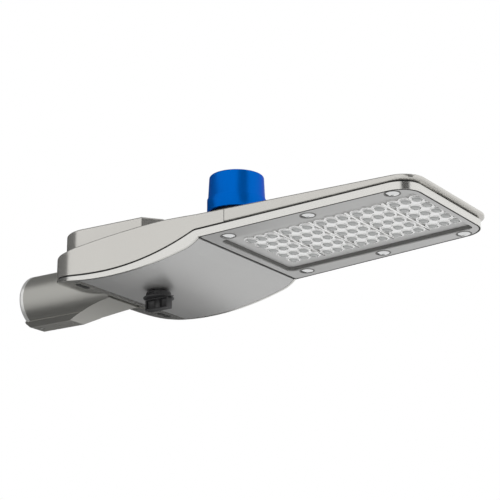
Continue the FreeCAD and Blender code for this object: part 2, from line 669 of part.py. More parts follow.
def build_lower_frame():
    """Perimeter casting: side band, rear lobes round the spigot notch, cross bars and bezel bosses."""
    height = above_belly(0).cut(above_split(-SPLIT_GAP / 2))
    outer = plan_prism(REAR_X, FRAME_FRONT_X, 0, REAR_CORNER_R, FRONT_CORNER_R).common(height)
    wall = FRAME_WALL
    inner = plan_prism(REAR_X + wall, FRAME_FRONT_X - wall, wall,
                       REAR_CORNER_R - wall, FRONT_CORNER_R - wall)
    floor_cut = inner.common(above_belly(FRAME_FLOOR))
    door_room = inner.common(block(CROSS_BAR_X1, SEAM_BAR_X0, -FAR, FAR, -FAR, FAR))
    panel_room = inner.common(block(SEAM_BAR_X1, FRAME_FRONT_X, -FAR, FAR, -FAR, FAR))
    bar_room = block(CROSS_BAR_X0 + 3.0, CROSS_BAR_X1 - 3.0, -NOTCH_HALF_WIDTH, NOTCH_HALF_WIDTH,
                     BELLY_LOW_Z + FRAME_FLOOR + 6.0, FAR)
    notch = block(0, CROSS_BAR_X0, -NOTCH_HALF_WIDTH, NOTCH_HALF_WIDTH, -FAR, FAR)
    body = outer.cut(floor_cut.common(block(REAR_X, CROSS_BAR_X0, -FAR, FAR, -FAR, FAR)))
    body = body.cut([door_room, panel_room, bar_room, notch])
    body = body.cut(block(CROSS_BAR_X0 - 1.0, CROSS_BAR_X1 + 1.0, -FAR, FAR, BELLY_LOW_Z + 12.0, FAR).common(inner))
    bezel_room = on_panel(block(DOOR_FRONT_X - PANEL_X, FAR, -FAR, FAR, -FAR, BEZEL_THICKNESS + FRAME_SEAT_GAP))
    gap = BEZEL_GAP
    rim = plan_prism(PANEL_X + BEZEL_REAR - gap, FRAME_FRONT_X - BEZEL_INSET + gap, BEZEL_INSET - gap,
                     BEZEL_REAR_R + gap, FRONT_CORNER_R - BEZEL_INSET + gap)
    rim = rim.fuse(plan_prism(DOOR_FRONT_X, PANEL_X + BEZEL_REAR, FRAME_WALL, 0, 0))
    body = body.cut(rim.common(bezel_room))
    additions = []
    for x in SCREW_X:
        for side in (-1, 1):
            boss = rod(SCREW_BOSS_R, x, side * SCREW_Y, BEZEL_THICKNESS + FRAME_SEAT_GAP, RECESS_DEPTH)
            outer_y = half_width(PANEL_X + x) - FRAME_WALL / 2
            rib = block(x - SCREW_BOSS_R, x + SCREW_BOSS_R, min(side * SCREW_Y, side * outer_y),
                        max(side * SCREW_Y, side * outer_y), BEZEL_THICKNESS + FRAME_SEAT_GAP, RECESS_DEPTH)
            additions.append(on_panel(boss.fuse(rib)))
    for side in (-1, 1):
        additions += hinge_ears(side)
    for x, y in front_screw_places():
        wall_y = math.copysign(half_width(PANEL_X + x) - FRAME_WALL / 2, y)
        additions.append(on_panel(block(x - SCREW_BOSS_R, x + SCREW_BOSS_R, min(y - SCREW_BOSS_R * 0.5, wall_y),
                                        max(y + SCREW_BOSS_R * 0.5, wall_y), TAB_Z, RECESS_DEPTH)))
    tab_z = rear_tab_z()
    for x, y in rear_screw_places():
        additions.append(block(CROSS_BAR_X0 + 1.0, x + SCREW_BOSS_R, y - SCREW_BOSS_R, y + SCREW_BOSS_R,
                               tab_z, tab_z + TAB_THICKNESS))
        additions.append(block(CROSS_BAR_X0 + 1.0, CROSS_BAR_X1 - 3.0, y - SCREW_BOSS_R, y + SCREW_BOSS_R,
                               BELLY_LOW_Z + 4.0, tab_z + TAB_THICKNESS))
    body = union([body] + additions)
    cuts = []
    for x in SCREW_X:
        cuts += [on_panel(rod(SCREW_SHANK_R, x, side * SCREW_Y, 0, BAND_HEIGHT)) for side in (-1, 1)]
    cuts += [rod(SMALL_SCREW_R, x, y, tab_z - 1, tab_z + SMALL_SCREW_LENGTH) for x, y in rear_screw_places()]
    cuts += [on_panel(rod(SMALL_SCREW_R, x, y, TAB_Z - 1, TAB_Z + SMALL_SCREW_LENGTH)) for x, y in front_screw_places()]
    floor_z = belly_z(SLOT_X)
    cuts += [block(SLOT_X - SLOT_WIDTH / 2, SLOT_X + SLOT_WIDTH / 2, side * SLOT_Y - SLOT_LENGTH / 2,
                   side * SLOT_Y + SLOT_LENGTH / 2, floor_z - FRAME_FLOOR, floor_z + 3 * FRAME_FLOOR)
             for side in (-1, 1)]
    cuts += [cross_rod(HINGE_PIN_R, HINGE_X, HINGE_Z, side * HINGE_Y - hinge_reach(), side * HINGE_Y + hinge_reach())
             for side in (-1, 1)]
    return body.cut(cuts).removeSplitter()


def hinge_reach():
    """Half of the length of one hinge pin."""
    return HINGE_LUG_WIDTH / 2 + HINGE_SIDE_GAP + HINGE_EAR_WIDTH


def hinge_ear_spans(side):
    """Where the two ears of one hinge pin start and end along Y."""
    spans = []
    for step in (-1, 1):
        middle = side * HINGE_Y + step * (hinge_reach() - HINGE_EAR_WIDTH / 2)
        spans.append((middle - HINGE_EAR_WIDTH / 2, middle + HINGE_EAR_WIDTH / 2))
    return spans


def hinge_ears(side):
    """Pair of ears on the seam bar that hold one hinge pin, reached from above the pin."""
    ears = []
    top = split_z(SEAM_BAR_X0) - SPLIT_GAP / 2
    for y0, y1 in hinge_ear_spans(side):
        eye = cross_rod(HINGE_EYE_R, HINGE_X, HINGE_Z, y0, y1)
        stem = block(HINGE_X - HINGE_STEM_REAR, HINGE_X, y0, y1, HINGE_Z, top)
        web = block(HINGE_X - HINGE_STEM_REAR, SEAM_BAR_X0 + 1.0, y0, y1, top - HINGE_WEB, top)
        ears.append(eye.fuse([stem, web]))
    return ears


def build_frame_gasket():
    """Dark seal in the groove between the upper castings and the frame."""
    band = above_split(-SPLIT_GAP / 2).cut(above_split(SPLIT_GAP / 2))
    inset = GASKET_SETBACK
    outer = plan_prism(REAR_X + inset, FRAME_FRONT_X - inset, inset,
                       REAR_CORNER_R - inset, FRONT_CORNER_R - inset)
    deep = FRAME_WALL
    inner = plan_prism(REAR_X + deep, FRAME_FRONT_X - deep, deep,
                       REAR_CORNER_R - deep, FRONT_CORNER_R - deep)
    notch = block(0, CROSS_BAR_X0, -NOTCH_HALF_WIDTH, NOTCH_HALF_WIDTH, -FAR, FAR)
    return outer.cut(inner).common(band).cut(notch)


def door_outline(gap, x0, x1):
    """Prism with the door opening's plan, set in by a gap."""
    return plan_prism(x0, x1, FRAME_WALL + gap, 0, 0)


def build_gear_door():
    """Belly cover: a curved skin with a stiffening rim, hinge lugs and the latch boss."""
    plan = door_outline(DOOR_GAP, DOOR_REAR_X, DOOR_FRONT_X)
    skin = plan.common(above_belly(0)).cut(above_belly(DOOR_WALL))
    skin = skin.cut(block(DOOR_FRONT_X, FAR, -FAR, FAR, -FAR, FAR))
    setback = DOOR_RIM_WALL
    rim_x1 = DOOR_FRONT_X - DOOR_RIM_SETBACK
    rim_outer = door_outline(DOOR_GAP, DOOR_REAR_X, rim_x1)
    rim_inner = door_outline(DOOR_GAP + setback, DOOR_REAR_X + setback, rim_x1 - setback)
    rim = rim_outer.cut(rim_inner).common(above_belly(DOOR_WALL / 2)).cut(above_belly(DOOR_WALL + DOOR_RIM_HEIGHT))
    lugs = [hinge_lug(side) for side in (-1, 1)]
    base = belly_z(LATCH_X)
    boss_top = base + DOOR_WALL + LATCH_BOSS_HEIGHT
    boss = rod(LATCH_CLIP_R + 2.0, LATCH_X, LATCH_Y, base + DOOR_WALL / 2, boss_top)
    relief = HINGE_EYE_R + HINGE_RELIEF
    gap = HINGE_SIDE_GAP / 2
    reliefs = [cross_rod(relief, HINGE_X, HINGE_Z, y0 - gap, y1 + gap)
               for side in (-1, 1) for y0, y1 in hinge_ear_spans(side)]
    body = union([skin.cut(reliefs), rim, boss] + lugs)
    body = body.cut(rod(LATCH_STUD_R + LATCH_RUNNING, LATCH_X, LATCH_Y, base - DOOR_WALL, boss_top + DOOR_WALL))
    return body.cut([cross_rod(HINGE_PIN_R + HINGE_RUNNING, HINGE_X, HINGE_Z, side * HINGE_Y - hinge_reach(),
                               side * HINGE_Y + hinge_reach()) for side in (-1, 1)]).removeSplitter()


def hinge_lug(side):
    """Lug that rises from the door's skin to one hinge pin."""
    y0 = side * HINGE_Y - HINGE_LUG_WIDTH / 2
    y1 = side * HINGE_Y + HINGE_LUG_WIDTH / 2
    eye = cross_rod(HINGE_EYE_R, HINGE_X, HINGE_Z, y0, y1)
    foot_x = HINGE_X - 16.0
    foot_z = belly_z(foot_x) + DOOR_WALL / 2
    points = [(HINGE_X, HINGE_Z + HINGE_EYE_R), (foot_x, foot_z + 4.0), (foot_x, foot_z), (HINGE_X, foot_z)]
    arm = Part.Face(Part.makePolygon([V(x, y0, z) for x, z in points + points[:1]])).extrude(V(0, y1 - y0, 0))
    return eye.fuse(arm.common(above_belly(DOOR_WALL / 2)))


def build_door_gasket():
    """Soft seal on the door's rim."""
    setback = DOOR_GAP + 0.25
    deep = setback + DOOR_RIM_WALL - 0.5
    x1 = DOOR_FRONT_X - DOOR_RIM_SETBACK
    outer = door_outline(setback, DOOR_REAR_X + 0.25, x1 - 0.25)
    inner = door_outline(deep, DOOR_REAR_X + DOOR_RIM_WALL - 0.25, x1 - DOOR_RIM_WALL + 0.25)
    low = DOOR_WALL + DOOR_RIM_HEIGHT
    return outer.cut(inner).common(above_belly(low)).cut(above_belly(low + DOOR_SEAL_HEIGHT))


def build_hinge_pins():
    """Two short pins of the gear door's hinge."""
    return group([cross_rod(HINGE_PIN_R, HINGE_X, HINGE_Z, side * HINGE_Y - hinge_reach(), side * HINGE_Y + hinge_reach())
                  for side in (-1, 1)])


def latch_base_z():
    """Height of the door's skin at the latch."""
    return belly_z(LATCH_X)


def build_latch_knob():
    """Quarter-turn knob: a skirt with a brim and a hollow finger grip below it."""
    seat = latch_base_z() - LATCH_KNOB_GAP
    skirt_end = seat - LATCH_SKIRT_HEIGHT
    skirt = Part.makeCone(LATCH_SKIRT_R, LATCH_SKIRT_R - 1.5, LATCH_SKIRT_HEIGHT, V(LATCH_X, LATCH_Y, skirt_end), Z_AXIS)
    brim_z = skirt_end
    brim = rod(LATCH_BRIM_R, LATCH_X, LATCH_Y, brim_z - LATCH_BRIM_HEIGHT, brim_z)
    grip_top = brim_z - LATCH_BRIM_HEIGHT / 2
    half_l = LATCH_GRIP_LENGTH / 2
    half_w = LATCH_GRIP_WIDTH / 2
    grip = block(LATCH_X - half_l, LATCH_X + half_l, LATCH_Y - half_w, LATCH_Y + half_w,
                 grip_top - LATCH_GRIP_HEIGHT, grip_top)
    upright = [edge for edge in grip.Edges if abs(edge.BoundBox.ZLength - LATCH_GRIP_HEIGHT) < 0.1]
    grip = grip.makeFillet(3.0, upright)
    wall = LATCH_GRIP_WALL
    pockets = []
    for side in (-1, 1):
        for step in (-1, 1):
            x0 = LATCH_X + min(step * (wall / 2), step * (half_l - wall))
            x1 = LATCH_X + max(step * (wall / 2), step * (half_l - wall))
            y0 = LATCH_Y + min(side * (wall / 2), side * (half_w + 1.0))
            y1 = LATCH_Y + max(side * (wall / 2), side * (half_w + 1.0))
            pockets.append(block(x0, x1, y0, y1, grip_top - LATCH_GRIP_HEIGHT + wall,
                                 brim_z - LATCH_BRIM_HEIGHT - wall))
    pointer = block(LATCH_X, LATCH_X + LATCH_BRIM_R + 3.0, LATCH_Y - 2.5, LATCH_Y + 2.5,
                    brim_z - LATCH_BRIM_HEIGHT, brim_z + 2.0)
    body = union([skirt, brim, grip.cut(pockets), pointer])
    return body.cut(rod(LATCH_STUD_R, LATCH_X, LATCH_Y, skirt_end + 2.0, 0))


def build_latch_stud():
    """Turned stud that is pressed in the knob and passes the door into the keeper."""
    seat = latch_base_z() - LATCH_KNOB_GAP
    stud = rod(LATCH_STUD_R, LATCH_X, LATCH_Y, seat - LATCH_SKIRT_HEIGHT + 2.0, LATCH_STUD_TOP_Z)
    stud = stud.makeChamfer(1.0, top_edges(stud, LATCH_STUD_TOP_Z))
    return stud.cut(build_latch_pin())


def build_latch_pin():
    """Cross pin of the latch stud; a quarter turn hooks it over the keeper's plate."""
    return cross_rod(LATCH_PIN_R, LATCH_X, LATCH_PIN_Z, LATCH_Y - LATCH_PIN_REACH, LATCH_Y + LATCH_PIN_REACH)


def build_latch_clip():
    """Retaining washer on the stud, inside the door."""
    z0 = latch_base_z() + DOOR_WALL + LATCH_BOSS_HEIGHT + LATCH_FACE_GAP
    disc = rod(LATCH_CLIP_R, LATCH_X, LATCH_Y, z0, z0 + LATCH_CLIP_THICKNESS)
    return disc.cut(rod(LATCH_STUD_R, LATCH_X, LATCH_Y, z0 - 1, z0 + LATCH_CLIP_THICKNESS + 1))


def build_latch_keeper():
    """Keeper on the housing's post: a channel whose two flanges hold the turned cross pin."""
    y0 = LATCH_Y - KEEPER_LENGTH / 2
    y1 = LATCH_Y + KEEPER_LENGTH / 2
    body = block(LATCH_X - KEEPER_HALF_WIDTH, LATCH_X + KEEPER_HALF_WIDTH, y0, y1, KEEPER_Z0, KEEPER_Z1)
    half = KEEPER_HALF_WIDTH - KEEPER_LEG
    chamber = block(LATCH_X - half, LATCH_X + half, y0 - 1, y1 + 1, KEEPER_Z0 + KEEPER_PLATE, KEEPER_Z1 - KEEPER_PLATE)
    half = LATCH_STUD_R + KEEPER_STUD_GAP
    slot = block(LATCH_X - half, LATCH_X + half, y0 - 1, y1 + 1, KEEPER_Z0 - 1, KEEPER_Z0 + KEEPER_PLATE + 1)
    return body.cut([chamber, slot])


def window_block(margin, corner_r, z0, z1):
    """Rounded block with the panel window's plan, grown by a margin, in the panel's plane."""
    x0 = WINDOW_REAR - margin
    x1 = WINDOW_FRONT + margin
    half = WINDOW_HALF_WIDTH + margin
    solid = block(x0, x1, -half, half, z0, z1)
    return solid.makeFillet(corner_r, upright_edges(solid, x0) + upright_edges(solid, x1))


def build_led_bezel():
    """Frame plate round the LED window, with a raised inner wall and counterbores for its screws."""
    plan = plan_prism(PANEL_X + BEZEL_REAR, FRAME_FRONT_X - BEZEL_INSET, BEZEL_INSET,
                      BEZEL_REAR_R, FRONT_CORNER_R - BEZEL_INSET)
    sheet = plan.common(on_panel(block(0, FAR, -FAR, FAR, 0, BEZEL_THICKNESS)))
    wall = on_panel(window_block(WINDOW_LIP, WINDOW_CORNER_R + WINDOW_LIP, BEZEL_THICKNESS / 2,
                                 RECESS_DEPTH - SEAL_THICKNESS))
    opening = on_panel(window_block(0, WINDOW_CORNER_R, -1, RECESS_DEPTH + 1))
    body = union([sheet, wall]).cut(opening)
    cuts = []
    for x in SCREW_X:
        for side in (-1, 1):
            cuts.append(on_panel(rod(SCREW_SEAT_R, x, side * SCREW_Y, -1, SCREW_HEAD_HEIGHT - SCREW_PROUD)))
            cuts.append(on_panel(rod(SCREW_SHANK_R + 0.4, x, side * SCREW_Y, -1, 10)))
    return body.cut(cuts)


def build_bezel_gasket():
    """Seal between the bezel's inner wall and the heat sink's floor."""
    outer = window_block(WINDOW_LIP, WINDOW_CORNER_R + WINDOW_LIP, RECESS_DEPTH - SEAL_THICKNESS, RECESS_DEPTH)
    return on_panel(outer.cut(window_block(0.5, WINDOW_CORNER_R + 0.5, 0, 10)))


def build_bezel_screws():
    """Six large-headed screws that clamp the bezel."""
    screws = []
    for x in SCREW_X:
        for side in (-1, 1):
            y = side * SCREW_Y
            rim = SCREW_HEAD_HEIGHT - SCREW_DOME
            top = SCREW_HEAD_HEIGHT - SCREW_PROUD
            head = rod(SCREW_HEAD_R, x, y, top - rim, top)
            dome = Part.makeCone(SCREW_HEAD_R * 0.72, SCREW_HEAD_R, SCREW_DOME, V(x, y, -SCREW_PROUD), Z_AXIS)
            shank = rod(SCREW_SHANK_R, x, y, 0, top + SCREW_SHANK_LENGTH)
            screws.append(on_panel(head.fuse([dome, shank]).removeSplitter()))
    return group(screws)


def module_centre(module):
    """Station of one LED module's centre along the panel."""
    return WINDOW_REAR + MODULE_REAR_MARGIN + (module + 0.5) * MODULE_PITCH


def lens_places(module):
    """Centres of one module's lenses in the panel's plane."""
    return [(module_centre(module) + (column - (LENS_COLUMNS - 1) / 2) * LENS_PITCH,
             (row - (LENS_ROWS - 1) / 2) * ROW_PITCH)
            for column in range(LENS_COLUMNS) for row in range(LENS_ROWS)]


def octagon(x, y, length, width, z):
    """Wire with eight corners round a centre."""
    cut_x = length * 0.29
    cut_y = width * 0.26
    half_l = length / 2
    half_w = width / 2
    corners = [(half_l, cut_y - half_w), (half_l, half_w - cut_y), (half_l - cut_x, half_w),
               (cut_x - half_l, half_w), (-half_l, half_w - cut_y), (-half_l, cut_y - half_w),
               (cut_x - half_l, -half_w), (half_l - cut_x, -half_w)]
    points = [V(x + dx, y + dy, z) for dx, dy in corners]
    return Part.makePolygon(points + points[:1])


def build_lens_plate(module):
    """Clear lens plate of one module: a thin plate with a domed lens over every LED."""
    centre = module_centre(module)
    face = RECESS_DEPTH - PLATE_THICKNESS
    plate = block(centre - PLATE_LENGTH / 2, centre + PLATE_LENGTH / 2, -PLATE_WIDTH / 2, PLATE_WIDTH / 2,
                  face, RECESS_DEPTH)
    lenses = []
    for x, y in lens_places(module):
        wide = octagon(x, y, LENS_LENGTH, LENS_WIDTH, face + PLATE_THICKNESS / 2)
        crown = octagon(x, y, LENS_LENGTH * LENS_CROWN, LENS_WIDTH * LENS_CROWN, face - LENS_HEIGHT)
        lenses.append(Part.makeLoft([wide, crown], True, True))
    return on_panel(union([plate] + lenses))


def board_plan(module):
    """Rear end, front end and half width of one module's board in the panel's plane."""
    centre = module_centre(module)
    half_length = PLATE_LENGTH / 2 - BOARD_MARGIN
    return centre - half_length, centre + half_length, PLATE_WIDTH / 2 - BOARD_MARGIN


def build_led_board(module):
    """Metal-core circuit board of one module, set into the heat sink's floor."""
    x0, x1, half = board_plan(module)
    board = block(x0, x1, -half, half, RECESS_DEPTH, RECESS_DEPTH + BOARD_THICKNESS)
    pockets = [block(x - CHIP_SIZE / 2, x + CHIP_SIZE / 2, y - CHIP_SIZE / 2, y + CHIP_SIZE / 2,
                     RECESS_DEPTH, RECESS_DEPTH + CHIP_THICKNESS) for x, y in lens_places(module)]
    return on_panel(board.cut(pockets))


def build_led_chips():
    """LED packages, one set into its board under every lens."""
    depth = RECESS_DEPTH
    chips = []
    for module in range(MODULE_COUNT):
        for x, y in lens_places(module):
            chips.append(on_panel(block(x - CHIP_SIZE / 2, x + CHIP_SIZE / 2, y - CHIP_SIZE / 2,
                                        y + CHIP_SIZE / 2, depth, depth + CHIP_THICKNESS)))
    return group(chips)


def build_spigot():
    """Cast spigot: barrel with a bore for the pole, clamp pad, swept neck and bolting ears."""
    barrel = Part.makeCylinder(SPIGOT_R, SPIGOT_LENGTH, V(0, 0, 0), V(1, 0, 0))
    mouth = [edge for edge in barrel.Edges if edge.BoundBox.XMax < 0.1]
    barrel = barrel.makeFillet(SPIGOT_MOUTH_R, mouth)
    pad_half = PAD_HALF_WIDTH
    bevel = 7.0
    pad_points = [V(0, -pad_half - bevel, PAD_Z + bevel), V(0, -pad_half, PAD_Z), V(0, pad_half, PAD_Z),
                  V(0, pad_half + bevel, PAD_Z + bevel), V(0, 0, 0)]
    pad = Part.Face(Part.makePolygon(pad_points + pad_points[:1])).extrude(V(SPIGOT_LENGTH, 0, 0))
    pad = pad.cut(across([line((0, PAD_Z - 1), (SPIGOT_MOUTH_R, PAD_Z - 1)),
                          line((SPIGOT_MOUTH_R, PAD_Z - 1), (0, PAD_Z + SPIGOT_MOUTH_R)),
                          line((0, PAD_Z + SPIGOT_MOUTH_R), (0, PAD_Z - 1))]))
    end = SPIGOT_LENGTH + 1.0
    ramp_mid = ((PAD_LENGTH + end) / 2, PAD_Z + (NECK_END_Z - PAD_Z) * 0.62)
    below = across([arc((PAD_LENGTH, PAD_Z), ramp_mid, (end, NECK_END_Z)),
                    line((end, NECK_END_Z), (end, -FAR)), line((end, -FAR), (PAD_LENGTH, -FAR)),
                    line((PAD_LENGTH, -FAR), (PAD_LENGTH, PAD_Z))])
    ears = block(EAR_X0, EAR_X1, -EAR_HALF_SPAN, EAR_HALF_SPAN, EAR_Z0, EAR_Z0 + EAR_THICKNESS)
    ears = ears.makeFillet(6.0, [edge for edge in ears.Edges if edge.BoundBox.ZLength > EAR_THICKNESS - 0.1
                                 and edge.BoundBox.XLength < 0.1 and edge.BoundBox.YLength < 0.1])
    body = union([barrel, pad, ears]).cut(below)
    bore = Part.makeCylinder(SPIGOT_BORE_R, SPIGOT_BORE_LENGTH + 1.0, V(-1, 0, 0), V(1, 0, 0))
    cable = Part.makeCylinder(CABLE_HOLE_R, SPIGOT_LENGTH, V(1, 0, 0), V(1, 0, 0))
    chamber = Part.makeCylinder(SPIGOT_R - 9.0, 45.0, V(SPIGOT_BORE_LENGTH + 8.0, 0, 0), V(1, 0, 0))
    chamber = chamber.cut(block(0, 300, -FAR, FAR, -FAR, NECK_END_Z + 9.0))
    cuts = [bore, cable, chamber]
    cuts += [rod(EAR_BOLT_R + 0.5, x, y, EAR_Z0 - 1, EAR_Z0 + EAR_THICKNESS + 1) for x, y in ear_bolt_places()]
    cuts += [rod(SET_SCREW_R, x, 0, PAD_Z - 1, 0) for x in SET_SCREW_X]
    return body.cut(cuts).removeSplitter()


def build_set_screws():
    """Socket screws in the clamp pad that grip the pole."""
    screws = []
    for x in SET_SCREW_X:
        z0 = PAD_Z + SET_SCREW_RECESS
        screw = rod(SET_SCREW_R, x, 0, z0, z0 + SET_SCREW_LENGTH)
        points = [V(x + 2.3 * math.cos(math.radians(60 * k)), 2.3 * math.sin(math.radians(60 * k)), z0 - 1)
                  for k in range(6)]
        socket = Part.Face(Part.makePolygon(points + points[:1])).extrude(V(0, 0, 5.0))
        screws.append(screw.cut(socket))
    return group(screws)


def build_spigot_bolts():
    """Four bolts that hold the spigot's ears under the housing's posts."""
    bolts = []
    for x, y in ear_bolt_places():
        shank = rod(EAR_BOLT_R, x, y, EAR_Z0 - 1, EAR_Z0 + EAR_BOLT_LENGTH)
        head = rod(EAR_BOLT_R * 1.7, x, y, EAR_Z0 - EAR_BOLT_R * 1.2, EAR_Z0)
        bolts.append(shank.fuse(head).removeSplitter())
    return group(bolts)


def build_cable_grommet():
    """Rubber grommet in the spigot's end wall where the supply cable comes through."""
    x = SPIGOT_LENGTH
    profile = [(x - 20.0, CABLE_HOLE_R), (x, CABLE_HOLE_R), (x, CABLE_HOLE_R + 3.0), (x + 3.0, CABLE_HOLE_R + 3.0),
               (x + 3.0, 5.0), (x - 20.0, 5.0)]
    points = [V(px, 0, pz) for px, pz in profile]
    return Part.Face(Part.makePolygon(points + points[:1])).revolve(V(0, 0, 0), V(1, 0, 0), 360)


def sector(radius0, radius1, z0, z1, start, sweep):
    """Part of a ring round the socket's axis."""
    outer = Part.makeCylinder(radius1, z1 - z0, V(CAP_X, 0, z0), Z_AXIS, sweep)
    inner = Part.makeCylinder(radius0, z1 - z0, V(CAP_X, 0, z0), Z_AXIS, sweep)
    ring = outer.cut(inner)
    ring.rotate(V(CAP_X, 0, 0), Z_AXIS, start)
    return ring


def build_socket_gasket():
    """Seal between the pedestal and the control socket."""
    z0 = PEDESTAL_Z
    ring = rod(SOCKET_GASKET_R, CAP_X, 0, z0, z0 + SOCKET_GASKET_THICKNESS)
    cuts = [rod(SOCKET_HOLE_R, CAP_X, 0, z0 - 1, z0 + 9)]
    cuts += [rod(SOCKET_SCREW_R, x, y, z0 - 1, z0 + 9) for x, y in socket_screw_places()]
    return ring.cut(cuts)


def build_control_socket():
    """Three-slot twist-lock socket that stands on the pedestal."""
    base_z = PEDESTAL_Z + SOCKET_GASKET_THICKNESS
    body = rod(SOCKET_R, CAP_X, 0, base_z, SOCKET_SHOULDER_Z)
    neck = rod(SOCKET_NECK_R, CAP_X, 0, SOCKET_SHOULDER_Z - 1, SOCKET_TOP_Z)
    stem = rod(SOCKET_STEM_R, CAP_X, 0, SOCKET_STEM_Z, base_z + 1)
    whole = union([body, neck, stem])
    cuts = []
    for index in range(BLADE_COUNT):
        start = index * 360.0 / BLADE_COUNT - BLADE_ARC / 2 - SLOT_END_ARC
        cuts.append(sector(BLADE_R - BLADE_THICKNESS / 2 - SLOT_SIDE, BLADE_R + BLADE_THICKNESS / 2 + SLOT_SIDE,
                           SOCKET_TOP_Z - BLADE_REACH - 2.0, SOCKET_TOP_Z + 1, start,
                           BLADE_ARC + 2 * SLOT_END_ARC + TWIST_ARC))
    cuts += [rod(SOCKET_SCREW_R, x, y, base_z - 1, base_z + SOCKET_SCREW_REACH) for x, y in socket_screw_places()]
    return whole.cut(cuts)


def build_socket_screws():
    """Two screws that hold the control socket, driven from inside the housing."""
    screws = []
    for x, y in socket_screw_places():
        shank = rod(SOCKET_SCREW_R, x, y, PEDESTAL_Z - SOCKET_SCREW_REACH, PEDESTAL_Z + SOCKET_SCREW_REACH)
        screws.append(shank)
    return group(screws)


def build_shorting_cap():
    """Blue cap shell: a rim band, a slight step and a drafted wall with a rounded top edge."""
    outline = [line((0, CAP_RIM_Z), (CAP_RIM_R, CAP_RIM_Z)),
               line((CAP_RIM_R, CAP_RIM_Z), (CAP_RIM_R, CAP_STEP_Z)),
               line((CAP_RIM_R, CAP_STEP_Z), (CAP_STEP_R, CAP_STEP_Z + 0.8)),
               line((CAP_STEP_R, CAP_STEP_Z + 0.8), (CAP_TOP_R, CAP_TOP_Z - CAP_EDGE_R)),
               line((CAP_TOP_R, CAP_TOP_Z - CAP_EDGE_R), (CAP_TOP_R - CAP_EDGE_R, CAP_TOP_Z)),
               line((CAP_TOP_R - CAP_EDGE_R, CAP_TOP_Z), (0, CAP_TOP_Z)),
               line((0, CAP_TOP_Z), (0, CAP_RIM_Z))]
    solid = Part.Face(Part.Wire(outline)).revolve(V(0, 0, 0), Z_AXIS, 360)
    solid.translate(V(CAP_X, 0, 0))
    base_top = SOCKET_TOP_Z + CAP_FACE_GAP + CAP_BASE_THICKNESS
    skirt_room = rod(CAP_SKIRT_R, CAP_X, 0, CAP_RIM_Z - 1, base_top)
    chamber = rod(CAP_TOP_R - CAP_WALL - 1.0, CAP_X, 0, base_top - 1, CAP_TOP_Z - CAP_WALL)
    return solid.cut(skirt_room.fuse(chamber)).removeSplitter()


def build_cap_base():
    """Contact plate that closes the cap's underside."""
    z0 = SOCKET_TOP_Z + CAP_FACE_GAP
    return rod(CAP_SKIRT_R, CAP_X, 0, z0, z0 + CAP_BASE_THICKNESS)


def build_cap_blades():
    """Three curved contact blades under the cap's base."""
    z1 = SOCKET_TOP_Z + CAP_FACE_GAP
    return group([sector(BLADE_R - BLADE_THICKNESS / 2, BLADE_R + BLADE_THICKNESS / 2, z1 - BLADE_REACH, z1,
                         index * 360.0 / BLADE_COUNT - BLADE_ARC / 2, BLADE_ARC)
                  for index in range(BLADE_COUNT)])


def build_gear_tray():
    """Folded steel tray that carries the driver, the surge protector and the terminals."""
    z1 = TRAY_Z + TRAY_THICKNESS
    sheet = block(TRAY_X0, TRAY_X1, -TRAY_HALF_WIDTH, TRAY_HALF_WIDTH, TRAY_Z, z1)
    flanges = [block(TRAY_X0, TRAY_X0 + TRAY_THICKNESS, -TRAY_HALF_WIDTH, TRAY_HALF_WIDTH, TRAY_Z - TRAY_FLANGE, z1),
               block(TRAY_X1 - TRAY_THICKNESS, TRAY_X1, -TRAY_HALF_WIDTH, TRAY_HALF_WIDTH,
                     TRAY_Z - TRAY_FLANGE, z1)]
    cuts = [rod(SMALL_SCREW_R, x, y, TRAY_Z - 1, z1 + 1) for x, y in tray_screw_places()]
    cuts.append(rod(KEEPER_POST_R + 2.0, LATCH_X, LATCH_Y, TRAY_Z - 1, z1 + 1))
    return union([sheet] + flanges).cut(cuts)


def build_tray_screws():
    """Four screws that hold the gear tray to the housing's posts."""
    screws = []
    for x, y in tray_screw_places():
        head = rod(SMALL_HEAD_R, x, y, TRAY_Z - SMALL_HEAD_HEIGHT, TRAY_Z)
        screws.append(head.fuse(rod(SMALL_SCREW_R, x, y, TRAY_Z - 1, TRAY_Z + SMALL_SCREW_LENGTH)).removeSplitter())
    return group(screws)


def build_led_driver():
    """Potted LED driver with a ribbed lower face, hung under the tray."""
    x0 = DRIVER_X - DRIVER_LENGTH / 2
    y0 = DRIVER_Y - DRIVER_WIDTH / 2
    body = block(x0, x0 + DRIVER_LENGTH, y0, y0 + DRIVER_WIDTH, TRAY_Z - DRIVER_HEIGHT, TRAY_Z)
    pitch = DRIVER_WIDTH / (DRIVER_RIB_COUNT + 1)
    grooves = [block(x0 + 8.0, x0 + DRIVER_LENGTH - 8.0, y0 + pitch * (k + 1) - 1.5, y0 + pitch * (k + 1) + 1.5,
                     TRAY_Z - DRIVER_HEIGHT - 1, TRAY_Z - DRIVER_HEIGHT + DRIVER_RIB_DEPTH)
               for k in range(DRIVER_RIB_COUNT)]
    return body.cut(grooves)


def build_surge_protector():
    """Potted surge protector beside the driver."""
    length, width, height = SURGE_SIZE
    body = block(SURGE_X - length / 2, SURGE_X + length / 2, SURGE_Y - width / 2, SURGE_Y + width / 2,
                 TRAY_Z - height, TRAY_Z)
    lower = [edge for edge in top_edges(body, TRAY_Z - height)]
    return body.makeChamfer(2.0, lower)


